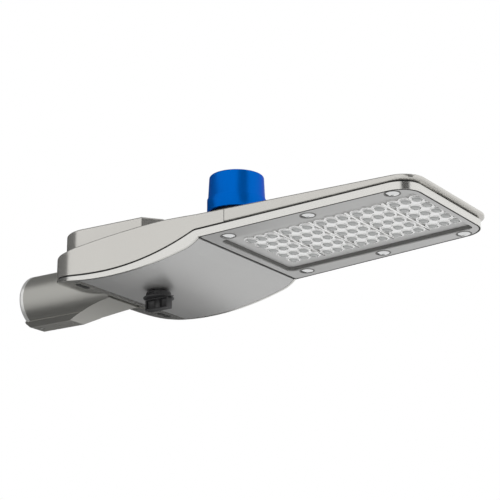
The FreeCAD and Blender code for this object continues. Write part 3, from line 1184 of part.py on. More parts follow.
def build_terminal_block():
    """Supply terminals: one block with a wire entry for each way."""
    length, width, height = TERMINAL_SIZE
    body = block(TERMINAL_X - length / 2, TERMINAL_X + length / 2, TERMINAL_Y - width / 2, TERMINAL_Y + width / 2,
                 TRAY_Z - height, TRAY_Z)
    pitch = width / TERMINAL_WAYS
    entries = []
    for way in range(TERMINAL_WAYS):
        y = TERMINAL_Y - width / 2 + pitch * (way + 0.5)
        entries.append(block(TERMINAL_X - length / 2 - 1, TERMINAL_X - length / 2 + 6.0, y - 2.4, y + 2.4,
                             TRAY_Z - height + 3.0, TRAY_Z - height + 8.0))
    return body.cut(entries)


def small_screw(x, y, seat_z):
    """Pan-head screw driven upwards, its head under a seat."""
    head = rod(SMALL_HEAD_R, x, y, seat_z - SMALL_HEAD_HEIGHT, seat_z)
    return head.fuse(rod(SMALL_SCREW_R, x, y, seat_z - 1, seat_z + SMALL_SCREW_LENGTH)).removeSplitter()


def build_frame_screws():
    """Screws that draw the frame up against the two upper castings."""
    rear = [small_screw(x, y, rear_tab_z()) for x, y in rear_screw_places()]
    front = [on_panel(small_screw(x, y, TAB_Z)) for x, y in front_screw_places()]
    return group(rear + front)


def build_seam_screws():
    """Screws that hold the rear end of the heat sink's floor under the rear housing."""
    return group([on_panel(small_screw(x, y, RECESS_DEPTH)) for x, y in seam_screw_places()])


def build_parts():
    """Every sub-part of the street light head, by name."""
    parts = {
        "rear_housing": build_rear_housing(),
        "heat_sink": build_heat_sink(),
        "lower_frame": build_lower_frame(),
        "frame_gasket": build_frame_gasket(),
        "gear_door": build_gear_door(),
        "door_gasket": build_door_gasket(),
        "door_hinge_pins": build_hinge_pins(),
        "latch_knob": build_latch_knob(),
        "latch_stud": build_latch_stud(),
        "latch_pin": build_latch_pin(),
        "latch_clip": build_latch_clip(),
        "latch_keeper": build_latch_keeper(),
        "led_bezel": build_led_bezel(),
        "bezel_gasket": build_bezel_gasket(),
        "bezel_screws": build_bezel_screws(),
        "led_chips": build_led_chips(),
        "spigot": build_spigot(),
        "set_screws": build_set_screws(),
        "spigot_bolts": build_spigot_bolts(),
        "cable_grommet": build_cable_grommet(),
        "socket_gasket": build_socket_gasket(),
        "control_socket": build_control_socket(),
        "socket_screws": build_socket_screws(),
        "shorting_cap": build_shorting_cap(),
        "cap_base": build_cap_base(),
        "cap_blades": build_cap_blades(),
        "gear_tray": build_gear_tray(),
        "tray_screws": build_tray_screws(),
        "led_driver": build_led_driver(),
        "surge_protector": build_surge_protector(),
        "terminal_block": build_terminal_block(),
        "frame_screws": build_frame_screws(),
        "seam_screws": build_seam_screws(),
    }
    for module in range(MODULE_COUNT):
        parts["lens_plate_%d" % (module + 1)] = build_lens_plate(module)
        parts["led_board_%d" % (module + 1)] = build_led_board(module)
    return parts


def main():
    """Build every sub-part and write one STEP file for each."""
    os.makedirs("parts", exist_ok=True)
    for name, shape in build_parts().items():
        shape.exportStep("parts/%s.step" % name)
        print("%-18s %2d solids %9.1f cm3" % (name, len(shape.Solids), shape.Volume / 1000.0))


main()
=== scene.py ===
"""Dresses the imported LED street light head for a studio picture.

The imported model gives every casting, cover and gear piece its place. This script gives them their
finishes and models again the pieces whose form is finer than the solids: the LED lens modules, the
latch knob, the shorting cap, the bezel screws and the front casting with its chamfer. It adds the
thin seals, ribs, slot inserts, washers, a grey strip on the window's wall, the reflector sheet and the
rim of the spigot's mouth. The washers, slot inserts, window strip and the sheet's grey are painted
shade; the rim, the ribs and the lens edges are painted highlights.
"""

import logging
import math
from dataclasses import dataclass
from enum import Enum
from typing import Callable, Optional, Sequence

import bmesh
import bpy
from mathutils import Matrix, Vector

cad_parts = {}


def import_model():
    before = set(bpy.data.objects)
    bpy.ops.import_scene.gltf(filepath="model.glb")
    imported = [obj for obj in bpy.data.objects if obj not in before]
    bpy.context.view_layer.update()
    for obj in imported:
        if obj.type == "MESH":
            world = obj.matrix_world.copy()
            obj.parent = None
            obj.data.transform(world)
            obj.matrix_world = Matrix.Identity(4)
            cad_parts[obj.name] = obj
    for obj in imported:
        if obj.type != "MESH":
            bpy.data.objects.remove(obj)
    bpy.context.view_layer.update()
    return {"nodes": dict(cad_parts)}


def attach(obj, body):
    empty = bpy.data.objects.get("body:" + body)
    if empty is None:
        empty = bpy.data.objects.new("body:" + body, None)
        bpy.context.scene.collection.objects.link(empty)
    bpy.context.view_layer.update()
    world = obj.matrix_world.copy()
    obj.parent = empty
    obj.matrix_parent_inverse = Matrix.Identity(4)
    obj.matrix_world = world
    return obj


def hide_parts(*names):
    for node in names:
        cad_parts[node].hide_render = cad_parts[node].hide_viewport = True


LOG = logging.getLogger("street_light_head")
MM = 0.001
# Least roughness that a finish swings down to
MIRROR_LIMIT = 0.02


class Facing(Enum):
    """Direction a selected face looks in."""

    DOWN = (0.0, 0.0, -1.0)
    UP = (0.0, 0.0, 1.0)


def hex_to_linear(code: str) -> tuple[float, float, float, float]:
    """Turn an sRGB hex value into a linear colour.

    Args:
        code: Six hex digits.

    Returns:
        Linear red, green, blue and an alpha of one.
    """
    channels = [int(code[i:i + 2], 16) / 255.0 for i in (0, 2, 4)]
    linear = [c / 12.92 if c <= 0.04045 else ((c + 0.055) / 1.055) ** 2.4 for c in channels]
    return (linear[0], linear[1], linear[2], 1.0)


def add_node(tree: bpy.types.NodeTree, kind: str, settings: Optional[dict] = None,
             inputs: Optional[dict] = None) -> bpy.types.Node:
    """Add a shader node with its settings, input values and links.

    Args:
        tree: Node tree to add to.
        kind: Node type name.
        settings: Attribute values of the node.
        inputs: Values or output sockets, by input name or index.

    Returns:
        The new node.
    """
    node = tree.nodes.new(kind)
    for name, value in (settings or {}).items():
        setattr(node, name, value)
    for name, value in (inputs or {}).items():
        if isinstance(value, bpy.types.NodeSocket):
            tree.links.new(value, node.inputs[name])
        else:
            node.inputs[name].default_value = value
    return node


@dataclass(frozen=True)
class Finish:
    """A surface: what it is made of and how light leaves it.

    Sizes are in millimetres; colours are sRGB hex values.
    """

    name: str
    colour: str
    shade: str
    roughness: float
    metallic: float = 0.0
    ior: float = 1.5
    coat: float = 0.0
    coat_roughness: float = 0.1
    transmission: float = 0.0
    grain_mm: float = 1.0
    grain_depth_mm: float = 0.0
    roughness_swing: float = 0.05
    edge_tint: str = "FFFFFF"

    def material(self) -> bpy.types.Material:
        """Make the material, or give back the one already made.

        Returns:
            The material of this finish.
        """
        ready = bpy.data.materials.get(self.name)
        if ready is not None:
            return ready
        made = bpy.data.materials.new(self.name)
        made.use_nodes = True
        tree = made.node_tree
        tree.nodes.clear()
        place = add_node(tree, "ShaderNodeTexCoord")
        fine = add_node(tree, "ShaderNodeTexNoise", inputs={
            "Vector": place.outputs["Object"], "Scale": 1.0 / (self.grain_mm * MM), "Detail": 2.0})
        broad = add_node(tree, "ShaderNodeTexNoise", inputs={
            "Vector": place.outputs["Object"], "Scale": 9.0, "Detail": 3.0})
        blend = add_node(tree, "ShaderNodeMix", {"data_type": "RGBA"}, {
            "Factor": broad.outputs["Fac"]})
        blend.inputs["A"].default_value = hex_to_linear(self.colour)
        blend.inputs["B"].default_value = hex_to_linear(self.shade)
        shader = add_node(tree, "ShaderNodeBsdfPrincipled", inputs={
            "Base Color": blend.outputs["Result"], "Roughness": self.roughness,
            "Metallic": self.metallic, "IOR": self.ior, "Coat Weight": self.coat,
            "Coat Roughness": self.coat_roughness, "Transmission Weight": self.transmission,
            "Specular Tint": hex_to_linear(self.edge_tint)})
        if self.roughness_swing > 0:
            swing = add_node(tree, "ShaderNodeMapRange", inputs={
                "Value": fine.outputs["Fac"], "From Min": 0.3, "From Max": 0.7,
                "To Min": max(self.roughness - self.roughness_swing, MIRROR_LIMIT),
                "To Max": self.roughness + self.roughness_swing})
            tree.links.new(swing.outputs["Result"], shader.inputs["Roughness"])
        if self.grain_depth_mm > 0:
            bump = add_node(tree, "ShaderNodeBump", inputs={
                "Height": fine.outputs["Fac"], "Strength": 1.0, "Distance": self.grain_depth_mm * MM})
            tree.links.new(bump.outputs["Normal"], shader.inputs["Normal"])
        add_node(tree, "ShaderNodeOutputMaterial", inputs={"Surface": shader.outputs["BSDF"]})
        return made


# Metallic polyester powder coat on die-cast aluminium: satin silver grey with a faint orange peel
POWDER_COAT = Finish("metallic_powder_coat", "D0CEC9", "CCCAC5", 0.22, metallic=0.75, grain_mm=1.6,
                     grain_depth_mm=0.0006, roughness_swing=0.0)
# The belly door's coat lies thicker and duller, so it blurs what it reflects
DOOR_COAT = Finish("satin_powder_coat", "C5C5C4", "C1C1C0", 0.36, metallic=0.75, grain_mm=1.6,
                   grain_depth_mm=0.0006, roughness_swing=0.0)
# The lower frame's coat comes out a little lighter than the upper castings'
FRAME_COAT = Finish("light_metallic_powder_coat", "DDDCD8", "D9D8D4", 0.22, metallic=0.9, grain_mm=1.6,
                    grain_depth_mm=0.0006, roughness_swing=0.0)
# The same coat on the spigot, rougher over its as-cast skin, with its colour darkened as painted shade
SHADED_CAST_COAT = Finish("rough_powder_coat_painted_shade", "B6B5B0", "B0AFAA", 0.38, metallic=0.85,
                   grain_mm=1.2, grain_depth_mm=0.003, roughness_swing=0.0)
# Silicone and EPDM seals: almost black, dull
EPDM = Finish("extruded_epdm_rubber", "1E1E1D", "262625", 0.75, grain_mm=0.8, grain_depth_mm=0.02)
# Rim of the spigot's mouth: pale, fine satin, its paleness a painted highlight on the rounded edge
RIM_HIGHLIGHT = Finish("pale_rim_painted_highlight", "ECECEA", "E6E6E4", 0.3, metallic=0.6, grain_mm=0.6,
                    roughness_swing=0.0)
# Grey silicone: painted shade on the window's wall and round the screw heads in their counterbores
GREY_SHADE_SILICONE = Finish("grey_silicone_painted_shade", "6C6C6A", "646462", 0.5, grain_mm=0.8, grain_depth_mm=0.01)
# Moulded acrylic lenses: clear and glossy, grey where the circuit board shows through them
ACRYLIC = Finish("moulded_acrylic_lens", "B4B6B5", "ABADAC", 0.1, ior=1.49, transmission=0.15, coat=0.3,
                 coat_roughness=0.08, grain_mm=3.0, grain_depth_mm=0.02, roughness_swing=0.0)
# The clear plate between the lenses, over the white board: bright
ACRYLIC_WEB = Finish("clear_acrylic_over_white_board", "FFFFFF", "FAFAFA", 0.15, ior=1.49, coat=0.4,
                     coat_roughness=0.1, roughness_swing=0.0)
# Cut edges and lens rims of the same acrylic: near-white and metallic, a painted highlight for their inward
# reflections
ACRYLIC_EDGE_HIGHLIGHT = Finish("acrylic_edge_painted_highlight", "FCFCFB", "F9F9F8", 0.14, metallic=0.85, roughness_swing=0.0)
# White solder mask over an aluminium circuit board
SOLDER_MASK = Finish("white_solder_mask", "F2F2F1", "EBEBEA", 0.35, grain_mm=0.6, grain_depth_mm=0.01)
# Reflector sheet: white polyester paint on thin aluminium, matt, its colour greyed as painted shade from the
# bezel's walls
SHADED_WHITE_SHEET = Finish("matt_white_sheet_painted_shade", "C6C6C5", "C1C1C0", 0.5, grain_mm=0.8, roughness_swing=0.0)
# Silicone with yellow phosphor over the LED dies
PHOSPHOR = Finish("phosphor_silicone", "D6C46A", "CDB95E", 0.3)
# Turned and polished stainless steel screws
STAINLESS = Finish("polished_stainless_steel", "F0F1F1", "E8E9E9", 0.12, metallic=1.0, grain_mm=0.7,
                   roughness_swing=0.0)
# Bright zinc plate on steel: grey, slightly cloudy
ZINC = Finish("bright_zinc_plate", "B9BBBD", "A8ABAE", 0.34, metallic=1.0, grain_mm=4.0)
# Glass-filled nylon: black, dull sheen
BLACK_NYLON = Finish("glass_filled_nylon", "262627", "2C2C2D", 0.36, grain_mm=0.9, grain_depth_mm=0.006,
                     roughness_swing=0.0)
# Black phenolic of the control socket
BLACK_PBT = Finish("moulded_black_pbt", "18181A", "1F1F21", 0.4, grain_mm=1.0, grain_depth_mm=0.01)
# Blue polypropylene of the shorting cap: satin, and its tinted skin turns reflections blue too
BLUE_PP = Finish("moulded_blue_polypropylene", "006AD1", "0065C8", 0.3, metallic=0.5, ior=1.12, grain_mm=1.4,
                 grain_depth_mm=0.002, roughness_swing=0.0, edge_tint="0A6FC0")
# Drawn brass blades
BRASS = Finish("drawn_brass", "D9B36A", "CDA659", 0.25, metallic=1.0, grain_mm=0.8)
# Driver case: anodised aluminium, matt silver
ANODISED = Finish("matt_anodised_aluminium", "C6C8CA", "BBBDC0", 0.42, metallic=1.0, grain_mm=1.0)
# Potted surge module: brick red thermoplastic
RED_PBT = Finish("moulded_red_pbt", "8E2A20", "85261D", 0.45, grain_mm=1.0, grain_depth_mm=0.02)
# Terminal block: natural polyamide
NATURAL_PA = Finish("natural_polyamide", "D5D4CB", "CCCBC1", 0.5, grain_mm=1.0, grain_depth_mm=0.02)


CAD_FINISHES: dict[str, Finish] = {
    "rear_housing": POWDER_COAT, "heat_sink": POWDER_COAT, "lower_frame": FRAME_COAT,
    "gear_door": DOOR_COAT, "led_bezel": DOOR_COAT, "spigot": SHADED_CAST_COAT,
    "frame_gasket": EPDM, "door_gasket": EPDM, "bezel_gasket": EPDM, "socket_gasket": EPDM,
    "cable_grommet": EPDM, "led_chips": PHOSPHOR,
    "door_hinge_pins": STAINLESS, "latch_stud": STAINLESS, "latch_pin": STAINLESS,
    "latch_clip": STAINLESS, "latch_keeper": ZINC, "set_screws": ZINC, "spigot_bolts": ZINC,
    "socket_screws": ZINC, "tray_screws": ZINC, "frame_screws": ZINC, "seam_screws": ZINC,
    "gear_tray": ZINC, "control_socket": BLACK_PBT, "cap_base": BLACK_PBT, "cap_blades": BRASS,
    "led_driver": ANODISED, "surge_protector": RED_PBT, "terminal_block": NATURAL_PA,
    "bezel_screws": STAINLESS, "latch_knob": BLACK_NYLON, "shorting_cap": BLUE_PP,
}


def dress_cad_nodes(nodes: dict[str, bpy.types.Object]) -> None:
    """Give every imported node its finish.

    Args:
        nodes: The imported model's objects by name.
    """
    for name, node in nodes.items():
        if name.startswith("led_board"):
            finish = SOLDER_MASK
        elif name.startswith("lens_plate"):
            finish = ACRYLIC
        else:
            finish = CAD_FINISHES[name]
        node.data.materials.clear()
        node.data.materials.append(finish.material())
        LOG.info("node %s is %s", name, finish.name)


def deselect() -> None:
    """Leave edit mode and clear the selection."""
    if bpy.context.object is not None and bpy.context.object.mode != "OBJECT":
        bpy.ops.object.mode_set(mode="OBJECT")
    bpy.ops.object.select_all(action="DESELECT")


def make_active(piece: bpy.types.Object) -> None:
    """Select one object alone and make it active."""
    deselect()
    piece.select_set(True)
    bpy.context.view_layer.objects.active = piece


def settle(piece: bpy.types.Object) -> None:
    """Put the object's origin at the world's origin, unturned and unscaled."""
    make_active(piece)
    bpy.ops.object.transform_apply(location=True, rotation=True, scale=True)


def apply_modifier(piece: bpy.types.Object, kind: str, **settings: object) -> None:
    """Add a modifier with its settings and apply it.

    Args:
        piece: Object to change.
        kind: Modifier type.
        settings: Attribute values of the modifier.
    """
    make_active(piece)
    modifier = piece.modifiers.new(kind.lower(), kind)
    for name, value in settings.items():
        setattr(modifier, name, value)
    bpy.ops.object.modifier_apply(modifier=modifier.name)


def round_edges(piece: bpy.types.Object, width: float, degrees: float = 40.0, segments: int = 2) -> None:
    """Bevel a piece's sharp edges.

    Args:
        piece: Object to change.
        width: Width of the bevel.
        degrees: Least angle between faces that counts as sharp.
        segments: Steps across the bevel.
    """
    apply_modifier(piece, "BEVEL", width=width, segments=segments, limit_method="ANGLE",
                   angle_limit=math.radians(degrees))


def select_faces(piece: bpy.types.Object, wanted: Callable[[bmesh.types.BMFace], bool]) -> None:
    """Enter edit mode and select the faces that a test picks.

    Args:
        piece: Object to edit.
        wanted: Test of a face.
    """
    make_active(piece)
    bpy.ops.object.mode_set(mode="EDIT")
    bpy.ops.mesh.select_mode(type="FACE")
    bpy.ops.mesh.select_all(action="DESELECT")
    shape = bmesh.from_edit_mesh(piece.data)
    for face in shape.faces:
        face.select_set(wanted(face))
    bmesh.update_edit_mesh(piece.data)


def leave_edit(piece: bpy.types.Object) -> None:
    """Make normals point outwards and leave edit mode."""
    bpy.ops.mesh.select_all(action="SELECT")
    bpy.ops.mesh.remove_doubles(threshold=1e-6)
    bpy.ops.mesh.normals_make_consistent(inside=False)
    bpy.ops.object.mode_set(mode="OBJECT")


def smooth(piece: bpy.types.Object, degrees: float = 32.0) -> None:
    """Shade a piece smooth up to an angle."""
    make_active(piece)
    bpy.ops.object.shade_smooth_by_angle(angle=math.radians(degrees))


def join(pieces: Sequence[bpy.types.Object], name: str) -> bpy.types.Object:
    """Join objects into the first one.

    Args:
        pieces: Objects to join.
        name: Name of the result.

    Returns:
        The joined object.
    """
    make_active(pieces[0])
    for piece in pieces:
        piece.select_set(True)
    bpy.ops.object.join()
    whole = bpy.context.object
    whole.name = name
    whole.data.name = name
    return whole


def copy_of(piece: bpy.types.Object, shift: Vector) -> bpy.types.Object:
    """Copy an object with its own mesh and move the copy."""
    twin = piece.copy()
    twin.data = piece.data.copy()
    bpy.context.collection.objects.link(twin)
    twin.location = piece.location + shift
    return twin


def cap_faces(piece: bpy.types.Object, height: float, normal: Facing) -> None:
    """Select the flat faces at a height that look up or down."""
    aim = Vector(normal.value)
    select_faces(piece, lambda face: face.normal.dot(aim) > 0.99
                 and abs(face.calc_center_median().z - height) < 0.02 * MM)


def push(rise: float, ratio: float, centre: tuple[float, float]) -> None:
    """Extrude the selected end face along Z and resize it about the piece's axis.

    Args:
        rise: Distance along Z.
        ratio: Growth of the new face.
        centre: Plan position of the axis.
    """
    bpy.ops.mesh.extrude_region_move(TRANSFORM_OT_translate={"value": (0, 0, rise)})
    bpy.ops.transform.resize(value=(ratio, ratio, 1.0), center_override=(centre[0], centre[1], 0.0))


def rounded_sheet(x_span: tuple[float, float], halves: tuple[float, float],
                  radii: tuple[float, float]) -> bpy.types.Object:
    """Lay a flat sheet in the XY plane, tapered from rear to front, with rounded corners.

    Args:
        x_span: Where it starts and ends along X.
        halves: Half width at its rear and at its front.
        radii: Corner radius at its rear and at its front; none is rounded where it is zero.

    Returns:
        The sheet, one face.
    """
    deselect()
    middle = (x_span[0] + x_span[1]) / 2
    bpy.ops.mesh.primitive_plane_add(size=1.0, location=(middle, 0, 0))
    sheet = bpy.context.object
    sheet.scale = (x_span[1] - x_span[0], halves[0] * 2, 1.0)
    settle(sheet)
    make_active(sheet)
    bpy.ops.object.mode_set(mode="EDIT")
    bpy.ops.mesh.select_mode(type="VERT")
    for front in (False, True):
        bpy.ops.mesh.select_all(action="DESELECT")
        shape = bmesh.from_edit_mesh(sheet.data)
        for corner in shape.verts:
            corner.select_set((corner.co.x > middle) == front)
        bmesh.update_edit_mesh(sheet.data)
        if front:
            bpy.ops.transform.resize(value=(1.0, halves[1] / halves[0], 1.0), center_override=(0, 0, 0))
        if radii[front] > 0:
            bpy.ops.mesh.bevel(offset=radii[front], offset_type="OFFSET", segments=14, affect="VERTICES")
    bpy.ops.object.mode_set(mode="OBJECT")
    return sheet


def cut_to_ring(sheet: bpy.types.Object, line: float) -> None:
    """Leave only a narrow ring along the edge of a one-face sheet."""
    select_faces(sheet, lambda face: True)
    bpy.ops.mesh.inset(thickness=line)
    bpy.ops.mesh.delete(type="FACE")
    bpy.ops.object.mode_set(mode="OBJECT")


def mount(piece: bpy.types.Object, name: str, finish: Finish,
          body: str = "head") -> bpy.types.Object:
    """Name a piece, dress it and let it ride on a body.

    Args:
        piece: Finished mesh.
        name: Its name.
        finish: What it is made of.
        body: The body it rides on.

    Returns:
        The piece.
    """
    piece.name = name
    piece.data.name = name
    piece.data.materials.clear()
    piece.data.materials.append(finish.material())
    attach(piece, body)
    LOG.info("built %s", name)
    return piece


def matt_material(name: str, colour: str) -> bpy.types.Material:
    """Make a plain matt material for a studio surface.

    Args:
        name: Its name.
        colour: Its sRGB hex colour.

    Returns:
        The material.
    """
    made = bpy.data.materials.new(name)
    made.use_nodes = True
    tree = made.node_tree
    tree.nodes.clear()
    matt = add_node(tree, "ShaderNodeBsdfDiffuse", inputs={"Color": hex_to_linear(colour)})
    add_node(tree, "ShaderNodeOutputMaterial", inputs={"Surface": matt.outputs["BSDF"]})
    return made


@dataclass
class PanelPlane:
    """The LED panel's own plane, in which its pieces are laid out."""

    seam_x: float = 398.0 * MM
    seam_z: float = 5.05 * MM
    front_x: float = 719.0 * MM
    front_z: float = 19.3 * MM

    def matrix(self) -> Matrix:
        """Turn and shift from the panel's plane to the part's frame."""
        tilt = math.atan2(self.front_z - self.seam_z, self.front_x - self.seam_x)
        return Matrix.Translation((self.seam_x, 0.0, self.seam_z)) @ Matrix.Rotation(-tilt, 4, "Y")


@dataclass
class LensModules:
    """Five clear lens plates with scalloped edges, fifteen lenses on each."""

    plane: PanelPlane
    count: int = 5
    first_x: float = 58.4 * MM
    pitch: float = 56.204 * MM
    columns: int = 3
    rows: int = 5
    column_pitch: float = 16.64 * MM
    row_pitch: float = 26.9 * MM
    plate_z: float = 4.4 * MM
    plate_depth: float = 2.6 * MM
    plate_bevel: float = 0.2 * MM
    scallop_r: float = 9.4 * MM
    scallop_squash: float = 1.43
    lens_half_x: float = 7.7 * MM
    lens_half_y: float = 10.6 * MM
    rim_ratio: float = 0.8
    rib_width: float = 3.8 * MM
    rib_rise: float = 0.5 * MM
    rib_spare: float = 1.0 * MM
    rib_round: float = 0.45 * MM
    profile: tuple[tuple[float, float], ...] = ((0.99, 1.1), (0.9, 1.15), (0.88, 0.2), (0.8, 0.4),
                                                (0.66, 1.2), (0.48, 1.8), (0.26, 2.0), (0.1, 1.9))

    def centres(self) -> list[tuple[float, float]]:
        """Places of one module's lenses round the module's centre."""
        return [((c - (self.columns - 1) / 2) * self.column_pitch, (r - (self.rows - 1) / 2) * self.row_pitch)
                for c in range(self.columns) for r in range(self.rows)]

    def build_lens(self) -> bpy.types.Object:
        """Model one oval lens: a rim in painted highlight, a groove and a crown with a shallow dimple."""
        deselect()
        base = 0.2 * MM
        bpy.ops.mesh.primitive_cylinder_add(vertices=28, radius=1.0, depth=base, location=(0, 0, -base / 2))
        lens = bpy.context.object
        settle(lens)
        cap_faces(lens, -base, Facing.DOWN)
        before, height = 1.0, 0.0
        for ratio, rise in self.profile:
            push(height - rise * MM, ratio / before, (0.0, 0.0))
            before, height = ratio, rise * MM
        bpy.ops.object.mode_set(mode="OBJECT")
        lens.scale = (self.lens_half_x, self.lens_half_y, 1.0)
        settle(lens)
        lens.data.materials.append(ACRYLIC.material())
        lens.data.materials.append(ACRYLIC_EDGE_HIGHLIGHT.material())
        # The outer rim takes the painted highlight
        for face in lens.data.polygons:
            spot = face.center
            ratio = math.hypot(spot.x / self.lens_half_x, spot.y / self.lens_half_y)
            face.material_index = 1 if ratio > self.rim_ratio else 0
        return lens

    def build_plate(self) -> bpy.types.Object:
        """Model one plate: overlapping oval discs and a web, joined into one scalloped sheet."""
        discs = []
        for x, y in self.centres():
            deselect()
            bpy.ops.mesh.primitive_cylinder_add(vertices=32, radius=self.scallop_r, depth=self.plate_depth,
                                                location=(x, y, 0))
            disc = bpy.context.object
            disc.scale = (1.0, self.scallop_squash, 1.0)
            discs.append(disc)
        scallops = join(discs, "scallops")
        settle(scallops)
        deselect()
        bpy.ops.mesh.primitive_cube_add(size=1.0)
        plate = bpy.context.object
        plate.scale = (self.column_pitch * (self.columns - 1) + self.scallop_r,
                       self.row_pitch * (self.rows - 1) + self.scallop_r, self.plate_depth)
        settle(plate)
        apply_modifier(plate, "BOOLEAN", operation="UNION", solver="EXACT", use_self=True, object=scallops)
        bpy.data.objects.remove(scallops, do_unlink=True)
        round_edges(plate, self.plate_bevel, degrees=50.0)
        plate.data.materials.append(ACRYLIC_WEB.material())
        plate.data.materials.append(ACRYLIC_EDGE_HIGHLIGHT.material())
        # Side faces take the edges' painted highlight
        for face in plate.data.polygons:
            face.material_index = 1 if abs(face.normal.z) < 0.95 else 0
        return plate

    def build(self) -> list[bpy.types.Object]:
        """Build the five modules.

        Returns:
            The module objects.
        """
        lens = self.build_lens()
        plate = self.build_plate()
        lens.location = (0, 0, -self.plate_depth / 2 + 0.1 * MM)
        copies = [copy_of(lens, Vector((x, y, 0))) for x, y in self.centres()]
        module = join([plate] + copies, "lens_module")
        bpy.data.objects.remove(lens, do_unlink=True)
        settle(module)
        smooth(module, 40.0)
        modules = []
        for index in range(self.count):
            piece = copy_of(module, Vector((0, 0, 0)))
            piece.name = "lens_module_%d" % (index + 1)
            centre_z = self.plate_z + self.plate_depth / 2
            piece.data.transform(Matrix.Translation((self.first_x + index * self.pitch, 0, centre_z)))
            piece.data.transform(self.plane.matrix())
            piece.data.update()
            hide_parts("lens_plate_%d" % (index + 1))
            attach(piece, "head")
            LOG.info("built %s", piece.name)
            modules.append(piece)
        bpy.data.objects.remove(module, do_unlink=True)
        self.build_ribs()
        return modules

    def build_ribs(self) -> None:
        """Model the four ribs between the modules, white lines whose brightness is painted highlight."""
        ribs = []
        middle_z = self.plate_z + self.plate_depth / 2 - self.rib_rise / 2
        length = self.row_pitch * self.rows + self.rib_spare
        for index in range(self.count - 1):
            deselect()
            bpy.ops.mesh.primitive_cube_add(size=1.0, location=(
                self.first_x + (index + 0.5) * self.pitch, 0, middle_z))
            rib = bpy.context.object
            rib.scale = (self.rib_width, length, self.plate_depth + self.rib_rise)
            settle(rib)
            round_edges(rib, self.rib_round, degrees=50.0)
            ribs.append(rib)
        whole = join(ribs, "module_ribs")
        whole.data.transform(self.plane.matrix())
        smooth(whole, 40.0)
        mount(whole, "module_ribs", ACRYLIC_EDGE_HIGHLIGHT)


@dataclass
class ShortingCap:
    """Blue cap: rim band, soft step, drafted wall and rounded top, hollow from below."""

    axis_x: float = 377.0 * MM
    rim_z: float = 76.8 * MM
    step_z: float = 96.5 * MM
    top_z: float = 131.7 * MM
    rim_r: float = 42.7 * MM
    wall_r: float = 41.4 * MM
    top_r: float = 39.8 * MM
    edge_r: float = 2.4 * MM
    skirt_r: float = 37.7 * MM
    hollow: float = 11.2 * MM

    def build(self) -> bpy.types.Object:
        """Build the cap from a short cylinder, drawn up ring by ring.

        Returns:
            The cap.
        """
        deselect()
        bpy.ops.mesh.primitive_cylinder_add(vertices=128, radius=self.rim_r, depth=self.step_z - self.rim_z,
                                            location=(self.axis_x, 0, (self.step_z + self.rim_z) / 2))
        cap = bpy.context.object
        cap.name = "blue_cap_shell"
        settle(cap)
        centre = (self.axis_x, 0.0)
        cap_faces(cap, self.step_z, Facing.UP)
        push(0.1 * MM, self.wall_r / self.rim_r, centre)
        push(self.top_z - self.edge_r - self.step_z - 0.1 * MM, self.top_r / self.wall_r, centre)
        radius = self.top_r
        steps = 5
        for step in range(1, steps + 1):
            turn = step * math.pi / 2 / steps
            before = (step - 1) * math.pi / 2 / steps
            rise = self.edge_r * (math.sin(turn) - math.sin(before))
            smaller = self.top_r - self.edge_r * (1 - math.cos(turn))
            push(rise, smaller / radius, centre)
            radius = smaller
        leave_edit(cap)
        cap_faces(cap, self.rim_z, Facing.DOWN)
        push(0.0, self.skirt_r / self.rim_r, centre)
        push(self.hollow, 1.0, centre)
        leave_edit(cap)
        round_edges(cap, 0.2 * MM, degrees=24.0)
        smooth(cap, 30.0)
        cap.data.materials.append(BLUE_PP.material())
        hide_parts("shorting_cap")
        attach(cap, "cap")
        LOG.info("built %s", cap.name)
        return cap


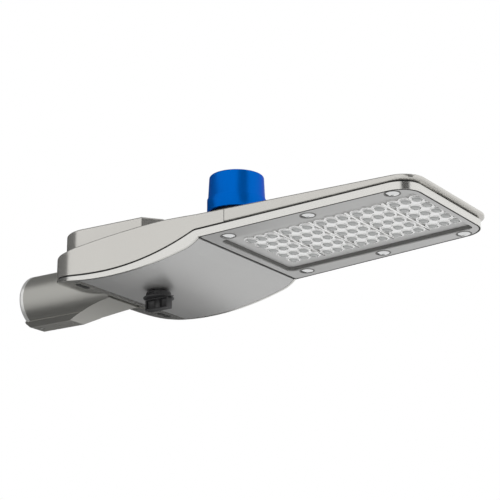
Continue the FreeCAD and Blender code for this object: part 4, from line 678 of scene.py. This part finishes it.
@dataclass
class BezelScrews:
    """Six low domed stainless screws that clamp the bezel."""

    plane: PanelPlane
    stations: tuple[float, float, float] = (34.8 * MM, 162.16 * MM, 289.52 * MM)
    side: float = 101.0 * MM
    head_r: float = 9.0 * MM
    seat_z: float = 1.4 * MM
    proud: float = 2.3 * MM
    rim: float = 0.3 * MM
    shank_r: float = 2.4 * MM
    shank: float = 7.0 * MM
    socket_r: float = 2.0 * MM
    shade_ring_r: float = 11.2 * MM
    shade_ring_lip: float = 0.3 * MM

    def build_one(self) -> bpy.types.Object:
        """Model one screw, head down, on the panel's origin."""
        deselect()
        bpy.ops.mesh.primitive_cylinder_add(vertices=48, radius=self.head_r, depth=self.seat_z,
                                            location=(0, 0, self.seat_z / 2))
        screw = bpy.context.object
        settle(screw)
        cap_faces(screw, 0.0, Facing.DOWN)
        push(-self.rim, 1.0, (0.0, 0.0))
        before, height = 1.0, 0.0
        for ratio in (0.97, 0.9, 0.8, 0.68, 0.55, 0.42, self.socket_r / self.head_r):
            crown = (self.proud - self.rim) * (1.0 - ratio ** 2)
            push(height - crown, ratio / before, (0.0, 0.0))
            before, height = ratio, crown
        push(self.proud * 0.6, 0.9, (0.0, 0.0))
        leave_edit(screw)
        cap_faces(screw, self.seat_z, Facing.UP)
        push(0.0, self.shank_r / self.head_r, (0.0, 0.0))
        push(self.shank, 1.0, (0.0, 0.0))
        leave_edit(screw)
        smooth(screw, 35.0)
        screw.data.materials.append(STAINLESS.material())
        return screw

    def build_shade_ring(self) -> bpy.types.Object:
        """Model one grey ring round the head, painted shade in the counterbore: a thin ring with a lip that
        the head presses on.
        """
        deselect()
        bpy.ops.mesh.primitive_cylinder_add(vertices=48, radius=self.shade_ring_r, depth=2 * self.shade_ring_lip,
                                            location=(0, 0, 0))
        shade_ring = bpy.context.object
        settle(shade_ring)
        cap_faces(shade_ring, -self.shade_ring_lip, Facing.DOWN)
        push(-0.1 * MM, 0.97, (0.0, 0.0))
        push(0.0, self.head_r * 1.01 / (self.shade_ring_r * 0.97), (0.0, 0.0))
        push(self.shade_ring_lip, 1.0, (0.0, 0.0))
        leave_edit(shade_ring)
        smooth(shade_ring, 35.0)
        return shade_ring

    def build_shade_rings(self) -> None:
        """Copy the ring of painted shade to the six screws."""
        first = self.build_shade_ring()
        copies = [copy_of(first, Vector((x, turn * self.side, 0))) for x in self.stations for turn in (-1, 1)]
        bpy.data.objects.remove(first, do_unlink=True)
        shade_rings = join(copies, "screw_shade_rings")
        settle(shade_rings)
        shade_rings.data.transform(self.plane.matrix())
        mount(shade_rings, "screw_shade_rings", GREY_SHADE_SILICONE)

    def build(self) -> bpy.types.Object:
        """Copy the screw to its six places.

        Returns:
            The joined screws.
        """
        first = self.build_one()
        copies = [copy_of(first, Vector((x, turn * self.side, 0))) for x in self.stations for turn in (-1, 1)]
        bpy.data.objects.remove(first, do_unlink=True)
        screws = join(copies, "bezel_screw_heads")
        settle(screws)
        screws.data.transform(self.plane.matrix())
        screws.data.update()
        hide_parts("bezel_screws")
        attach(screws, "head")
        LOG.info("built %s", screws.name)
        return screws


@dataclass
class SeamSeals:
    """Dark seals that show as thin lines: round the bezel, and between the two upper castings."""

    plane: PanelPlane
    bezel_rear: float = 0.4 * MM
    bezel_front: float = 320.6 * MM
    rear_half: float = 124.7 * MM
    front_half: float = 113.1 * MM
    front_r: float = 32.0 * MM
    line: float = 1.9 * MM
    proud: float = 0.25 * MM
    seam_x: float = 441.0 * MM
    seam_half: float = 123.45 * MM
    seam_low: float = 19.9 * MM
    seam_top: float = 38.5 * MM
    seam_r: float = 2.4 * MM
    seam_thick: float = 0.8 * MM

    def build_bezel_line(self) -> None:
        """Model the seal round the bezel from a tapered sheet with rounded front corners."""
        seal = rounded_sheet((self.bezel_rear, self.bezel_front), (self.rear_half, self.front_half),
                             (0.0, self.front_r))
        cut_to_ring(seal, self.line)
        apply_modifier(seal, "SOLIDIFY", thickness=self.proud * 2, offset=0.0)
        seal.data.transform(self.plane.matrix())
        mount(seal, "bezel_edge_seal", EPDM)

    def build_casting_line(self) -> None:
        """Model the thin seal that fills the seam between the two upper castings."""
        seal = rounded_sheet((self.seam_low, self.seam_top), (self.seam_half, self.seam_half),
                             (0.0, self.seam_r))
        cut_to_ring(seal, self.line)
        apply_modifier(seal, "SOLIDIFY", thickness=self.seam_thick, offset=0.0)
        seal.data.transform(Matrix.Translation((self.seam_x, 0, 0)) @ Matrix.Rotation(-math.pi / 2, 4, "Y"))
        mount(seal, "casting_seam_seal", EPDM)


@dataclass
class PanelWindow:
    """What shows inside the bezel's window: a white sheet round the modules, greyed as painted shade, and a
    grey strip on the window's wall that is painted shade.
    """

    plane: PanelPlane
    rear: float = 13.0 * MM
    front: float = 311.3 * MM
    half: float = 90.0 * MM
    corner_r: float = 9.0 * MM
    gap: float = 0.35 * MM
    sheet_z: float = 6.8 * MM
    sheet_thick: float = 0.3 * MM
    wall_shade_low: float = 1.6 * MM
    wall_shade_high: float = 6.4 * MM
    wall_shade_thick: float = 0.6 * MM

    def outline(self, inset: float) -> bpy.types.Object:
        """Lay a sheet with the window's plan, set in by a gap."""
        return rounded_sheet((self.rear + inset, self.front - inset), (self.half - inset, self.half - inset),
                             (self.corner_r - inset, self.corner_r - inset))

    def build_sheet(self) -> None:
        """Model the white reflector sheet that lies round the lens modules, greyed as painted shade."""
        sheet = self.outline(self.gap)
        apply_modifier(sheet, "SOLIDIFY", thickness=self.sheet_thick, offset=0.0)
        sheet.data.transform(self.plane.matrix() @ Matrix.Translation((0, 0, self.sheet_z)))
        mount(sheet, "reflector_sheet", SHADED_WHITE_SHEET)

    def build_wall_shade(self) -> None:
        """Model the grey strip that lines the window's wall, painted shade in the recess."""
        seal = self.outline(self.gap + self.wall_shade_thick / 2)
        select_faces(seal, lambda face: True)
        bpy.ops.mesh.delete(type="ONLY_FACE")
        bpy.ops.mesh.select_mode(type="EDGE")
        bpy.ops.mesh.select_all(action="SELECT")
        bpy.ops.mesh.extrude_region_move(
            TRANSFORM_OT_translate={"value": (0, 0, self.wall_shade_high - self.wall_shade_low)})
        leave_edit(seal)
        apply_modifier(seal, "SOLIDIFY", thickness=self.wall_shade_thick, offset=0.0)
        seal.data.transform(self.plane.matrix() @ Matrix.Translation((0, 0, self.wall_shade_low)))
        smooth(seal, 40.0)
        mount(seal, "window_wall_shade", GREY_SHADE_SILICONE)


@dataclass
class SinkCasting:
    """The front casting with its lower outer edge chamfered, which shows as a dark band over the seal."""

    plane: PanelPlane
    edge_z: float = 12.79 * MM
    chamfer_high: float = 1.6 * MM
    chamfer_deep: float = 1.9 * MM
    front_x: float = 725.0 * MM
    corner_r: float = 33.0 * MM
    station_x: float = 540.0 * MM
    station_half: float = 120.2 * MM
    taper: float = 0.036
    near: float = 0.2 * MM

    def inward(self, x: float, y: float) -> Optional[Vector]:
        """Direction into the casting from a point on its outer outline, or none off the outline."""
        side = math.copysign(1.0, y)
        half = self.station_half - self.taper * (x - self.station_x)
        corner = Vector((self.front_x - self.corner_r, side * (half - self.corner_r), 0.0))
        away = Vector((x, y, 0.0)) - corner
        if away.x > 0 and away.y * side > 0:
            return -away.normalized() if abs(away.length - self.corner_r) < 4 * self.near else None
        if half - abs(y) < self.near:
            return Vector((0.0, -side, 0.0))
        return Vector((-1.0, 0.0, 0.0)) if self.front_x - x < self.near else None

    def build(self, node: bpy.types.Object) -> None:
        """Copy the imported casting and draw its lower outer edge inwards.

        Args:
            node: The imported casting.
        """
        casting = copy_of(node, Vector((0, 0, 0)))
        make_active(casting)
        bpy.ops.object.mode_set(mode="EDIT")
        bpy.ops.mesh.select_all(action="SELECT")
        bpy.ops.mesh.remove_doubles(threshold=1e-6)
        upright = self.plane.matrix()
        bpy.ops.mesh.bisect(plane_co=upright @ Vector((0, 0, self.edge_z + self.chamfer_high)),
                            plane_no=upright.to_3x3() @ Vector((0, 0, 1)))
        bpy.ops.object.mode_set(mode="OBJECT")
        to_plane = upright.inverted()
        for vertex in casting.data.vertices:
            if (to_plane @ vertex.co).z < self.edge_z + self.near:
                way = self.inward(vertex.co.x, vertex.co.y)
                if way is not None:
                    vertex.co += way * self.chamfer_deep
        casting.data.update()
        smooth(casting, 28.0)
        apply_modifier(casting, "WEIGHTED_NORMAL", keep_sharp=True, weight=100)
        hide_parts("heat_sink")
        mount(casting, "sink_casting", POWDER_COAT)


@dataclass
class SpigotMouth:
    """Pale rim that rounds the spigot's open end; its paleness is a painted highlight."""

    axis_z: float = 0.0
    outer_r: float = 41.25 * MM
    round_r: float = 5.0 * MM
    skin: float = 0.08 * MM
    depth: float = 0.6 * MM
    reach: float = 9.5 * MM
    steps: int = 8

    def build(self) -> None:
        """Draw a circle out along the rounded edge, back under the skin, and lay it on its side."""
        inner = self.outer_r - self.round_r
        deselect()
        bpy.ops.mesh.primitive_circle_add(vertices=128, radius=inner, location=(0, 0, -self.skin))
        rim = bpy.context.object
        settle(rim)
        make_active(rim)
        bpy.ops.object.mode_set(mode="EDIT")
        bpy.ops.mesh.select_all(action="SELECT")
        turns = [step * math.pi / 2 / self.steps for step in range(self.steps + 1)]
        path = [(self.round_r - (self.round_r + self.skin) * math.cos(turn),
                 inner + (self.round_r + self.skin) * math.sin(turn)) for turn in turns[1:]]
        path += [(self.reach, self.outer_r + self.skin), (self.reach, self.outer_r - self.depth)]
        path += [(self.round_r - (self.round_r - self.depth) * math.cos(turn),
                  inner + (self.round_r - self.depth) * math.sin(turn)) for turn in reversed(turns)]
        path.append((-self.skin, inner))
        height, radius = -self.skin, inner
        for next_height, next_radius in path:
            bpy.ops.mesh.extrude_region_move(TRANSFORM_OT_translate={"value": (0, 0, next_height - height)})
            ratio = next_radius / radius
            bpy.ops.transform.resize(value=(ratio, ratio, 1.0), center_override=(0, 0, 0))
            height, radius = next_height, next_radius
        leave_edit(rim)
        rim.data.transform(Matrix.Translation((0, 0, self.axis_z)) @ Matrix.Rotation(math.pi / 2, 4, "Y"))
        smooth(rim, 40.0)
        mount(rim, "spigot_mouth_highlight_rim", RIM_HIGHLIGHT)


@dataclass
class DrainSlots:
    """Dark inserts in the two slots under the rear lobes, painted shade for the slots' dark insides."""

    centre_x: float = 175.0 * MM
    side_y: float = 97.0 * MM
    skin_z: float = -22.9 * MM
    length: float = 24.0 * MM
    width: float = 9.0 * MM
    thick: float = 1.2 * MM
    slope: float = 0.138

    def build(self) -> None:
        """Model one insert, copy it to the other lobe and join the two."""
        insert = rounded_sheet((-self.width / 2, self.width / 2), (self.length / 2, self.length / 2),
                               (2.5 * MM, 2.5 * MM))
        apply_modifier(insert, "SOLIDIFY", thickness=self.thick, offset=0.0)
        insert.data.transform(Matrix.Translation((self.centre_x, 0, self.skin_z))
                              @ Matrix.Rotation(math.atan(self.slope), 4, "Y"))
        pair = [copy_of(insert, Vector((0, turn * self.side_y, 0))) for turn in (-1, 1)]
        bpy.data.objects.remove(insert, do_unlink=True)
        both = join(pair, "drain_slot_shade_inserts")
        settle(both)
        mount(both, "drain_slot_shade_inserts", EPDM)


@dataclass
class LatchKnob:
    """Quarter-turn knob: skirt, brim with a pointer, and a hollow finger grip."""

    axis: tuple[float, float] = (260.0 * MM, -28.0 * MM)
    seat_z: float = -27.3 * MM
    skirt_r: float = 19.0 * MM
    skirt_h: float = 10.0 * MM
    brim_r: float = 22.5 * MM
    brim_h: float = 1.3 * MM
    dome: tuple[tuple[float, float], ...] = ((0.5, 0.985), (0.2, 0.96), (0.15, 0.93), (0.1, 0.9),
                                             (0.05, 0.93))
    pointer: float = 3.5 * MM
    grip_l: float = 40.0 * MM
    grip_w: float = 13.0 * MM
    grip_h: float = 17.0 * MM
    wall: float = 2.2 * MM
    stem_r: float = 5.94 * MM
    stud_r: float = 4.0 * MM

    def build_skirt(self) -> bpy.types.Object:
        """Model the skirt and brim as one turned form, with the stud's hole from above."""
        low = self.seat_z - self.skirt_h
        deselect()
        bpy.ops.mesh.primitive_cylinder_add(vertices=96, radius=self.brim_r, depth=self.brim_h,
                                            location=(self.axis[0], self.axis[1], low - self.brim_h / 2))
        skirt = bpy.context.object
        settle(skirt)
        cap_faces(skirt, low, Facing.UP)
        push(0.0, self.skirt_r / self.brim_r, self.axis)
        radius = self.skirt_r
        for share, ratio in self.dome:
            push(self.skirt_h * share, ratio, self.axis)
            radius *= ratio
        push(0.0, self.stud_r / radius, self.axis)
        push(2.0 * MM - self.skirt_h, 1.0, self.axis)
        leave_edit(skirt)
        round_edges(skirt, 0.5 * MM)
        return skirt

    def build_pointer(self) -> bpy.types.Object:
        """Model the small pointer on the brim's edge."""
        low = self.seat_z - self.skirt_h
        deselect()
        bpy.ops.mesh.primitive_cylinder_add(vertices=3, radius=5.0 * MM, depth=self.brim_h,
                                            location=(self.axis[0] + self.brim_r - 0.3 * MM, self.axis[1],
                                                      low - self.brim_h / 2),
                                            rotation=(0, 0, -math.pi / 2))
        tip = bpy.context.object
        settle(tip)
        round_edges(tip, 0.4 * MM)
        return tip

    def build_grip(self) -> bpy.types.Object:
        """Model the finger grip: a rounded bar with a pocket in each side and a stem between."""
        top = self.seat_z - self.skirt_h - self.brim_h / 2
        middle = (self.axis[0], self.axis[1], top - self.grip_h / 2)
        deselect()
        bpy.ops.mesh.primitive_cube_add(size=1.0, location=middle)
        grip = bpy.context.object
        grip.scale = (self.grip_l, self.grip_w, self.grip_h)
        settle(grip)
        select_faces(grip, lambda face: abs(face.normal.y) > 0.9)
        bpy.ops.mesh.inset(thickness=self.wall, use_individual=True)
        bpy.ops.mesh.extrude_region_shrink_fatten(
            TRANSFORM_OT_shrink_fatten={"value": -(self.grip_w - self.wall) / 2})
        leave_edit(grip)
        round_edges(grip, 1.1 * MM, segments=3)
        deselect()
        bpy.ops.mesh.primitive_cylinder_add(vertices=40, radius=self.stem_r, depth=self.grip_h - self.wall,
                                            location=middle)
        stem = bpy.context.object
        settle(stem)
        round_edges(stem, 0.4 * MM)
        return join([grip, stem], "grip")

    def build(self) -> bpy.types.Object:
        """Join the knob's forms.

        Returns:
            The knob.
        """
        knob = join([self.build_skirt(), self.build_pointer(), self.build_grip()], "quarter_turn_knob")
        settle(knob)
        smooth(knob, 35.0)
        knob.data.materials.append(BLACK_NYLON.material())
        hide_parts("latch_knob")
        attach(knob, "latch")
        LOG.info("built %s", knob.name)
        return knob


@dataclass(frozen=True)
class Card:
    """A dark card: its centre, the point it faces, its width and height, and its sRGB hex colour."""

    name: str
    place: tuple[float, float, float]
    aim: tuple[float, float, float]
    size: tuple[float, float]
    colour: str


# What each card darkens: the front corner, the top, the rear ends, the belly door and the spigot's underside
CARDS: tuple[Card, ...] = (
    Card("corner_flag", (1.80, -0.75, 0.95), (0.6, -0.1, 0.05), (1.1, 2.0), "1C1C1C"),
    Card("ceiling_flag", (-0.35, 0.35, 1.3), (0.3, 0.1, 0.05), (2.6, 2.2), "707070"),
    Card("rear_flag", (-1.2, 0.3, -0.1), (0.1, 0.0, 0.0), (3.2, 2.0), "444444"),
    Card("belly_flag", (-1.25, 1.95, 0.1), (0.1, 0.0, 0.0), (1.7, 1.4), "2A2A2A"),
    Card("low_flag", (-0.5, -0.35, -1.1), (-0.1, 0.0, 0.0), (1.5, 1.5), "161616"),
)


@dataclass
class Studio:
    """Camera, floor, dark cards and the white surroundings."""

    eye: tuple[float, float, float] = (1.6101, -1.7973, -0.6526)
    right: tuple[float, float, float] = (0.82957, 0.55841, 0.0)
    up: tuple[float, float, float] = (0.16516, -0.24536, 0.95526)
    forward: tuple[float, float, float] = (-0.53343, 0.79245, 0.29577)
    focal_px: float = 1594.345
    picture_px: float = 500.0
    sensor_mm: float = 36.0
    floor_z: float = -1.25
    sky_rear: float = 0.6
    sky_front: float = 1.0
    floor_colour: str = "F8F8F8"

    def place_camera(self) -> None:
        """Set the camera that the photograph was taken with."""
        lens = bpy.data.cameras.new("camera")
        lens.sensor_width = self.sensor_mm
        lens.sensor_fit = "HORIZONTAL"
        lens.lens = self.sensor_mm * self.focal_px / self.picture_px
        lens.clip_end = 50.0
        holder = bpy.data.objects.new("camera", lens)
        bpy.context.collection.objects.link(holder)
        turn = Matrix((self.right, self.up, [-c for c in self.forward])).transposed().to_4x4()
        holder.matrix_world = Matrix.Translation(self.eye) @ turn
        bpy.context.scene.camera = holder

    def light_world(self) -> None:
        """Soft light all round, weaker from the rear, which the camera, glass and gloss see as white."""
        world = bpy.data.worlds.new("surroundings")
        world.use_nodes = True
        bpy.context.scene.world = world
        tree = world.node_tree
        tree.nodes.clear()
        path = add_node(tree, "ShaderNodeLightPath")
        gloss = add_node(tree, "ShaderNodeMath", {"operation": "MAXIMUM"}, {
            0: path.outputs["Is Glossy Ray"], 1: path.outputs["Is Transmission Ray"]})
        seen = add_node(tree, "ShaderNodeMath", {"operation": "MAXIMUM"}, {
            0: path.outputs["Is Camera Ray"], 1: gloss.outputs["Value"]})
        place = add_node(tree, "ShaderNodeTexCoord")
        parts = add_node(tree, "ShaderNodeSeparateXYZ", inputs={0: place.outputs["Generated"]})
        soft = add_node(tree, "ShaderNodeMapRange", {"interpolation_type": "SMOOTHSTEP"}, {
            "Value": parts.outputs["X"], "From Min": -0.9, "From Max": 0.5,
            "To Min": self.sky_rear, "To Max": self.sky_front})
        level = add_node(tree, "ShaderNodeMix", {"data_type": "FLOAT"}, {
            "Factor": seen.outputs["Value"], "A": soft.outputs["Result"], "B": 1.0})
        back = add_node(tree, "ShaderNodeBackground", inputs={
            "Color": (1.0, 1.0, 1.0, 1.0), "Strength": level.outputs["Result"]})
        add_node(tree, "ShaderNodeOutputWorld", inputs={"Surface": back.outputs["Background"]})

    def lay_floor(self) -> None:
        """Pale floor far below the part."""
        deselect()
        bpy.ops.mesh.primitive_plane_add(size=14.0, location=(0.35, 0.0, self.floor_z))
        floor = bpy.context.object
        floor.name = "floor"
        floor.data.materials.append(matt_material("matt_studio_floor", self.floor_colour))

    def hang_card(self, card_plan: Card) -> None:
        """Hang a dark card that only reflections show, to give the pale paint some contrast.

        Args:
            card_plan: What the card is like and where it hangs.
        """
        deselect()
        bpy.ops.mesh.primitive_plane_add(size=1.0)
        card = bpy.context.object
        card.name = card_plan.name
        card.scale = (*card_plan.size, 1.0)
        way = Vector(card_plan.aim) - Vector(card_plan.place)
        card.rotation_euler = way.to_track_quat("Z", "Y").to_euler()
        card.location = card_plan.place
        settle(card)
        card.data.materials.append(matt_material(card_plan.name + "_cloth", card_plan.colour))
        card.visible_camera = False
        card.visible_diffuse = False
        card.visible_shadow = False

    def build(self) -> None:
        """Set the whole studio up."""
        bpy.context.scene.view_settings.view_transform = "Standard"
        self.place_camera()
        self.light_world()
        self.lay_floor()
        for card_plan in CARDS:
            self.hang_card(card_plan)


def main() -> None:
    """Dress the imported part, add the fine pieces and set the studio up."""
    logging.basicConfig(level=logging.INFO, format="%(name)s: %(message)s")
    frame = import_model()
    Studio().build()
    dress_cad_nodes(frame["nodes"])
    plane = PanelPlane()
    LensModules(plane).build()
    screws = BezelScrews(plane)
    screws.build()
    screws.build_shade_rings()
    seals = SeamSeals(plane)
    seals.build_bezel_line()
    seals.build_casting_line()
    window = PanelWindow(plane)
    window.build_sheet()
    window.build_wall_shade()
    SinkCasting(plane).build(frame["nodes"]["heat_sink"])
    DrainSlots().build()
    SpigotMouth().build()
    ShortingCap().build()
    LatchKnob().build()


if __name__ == "__main__":
    main()
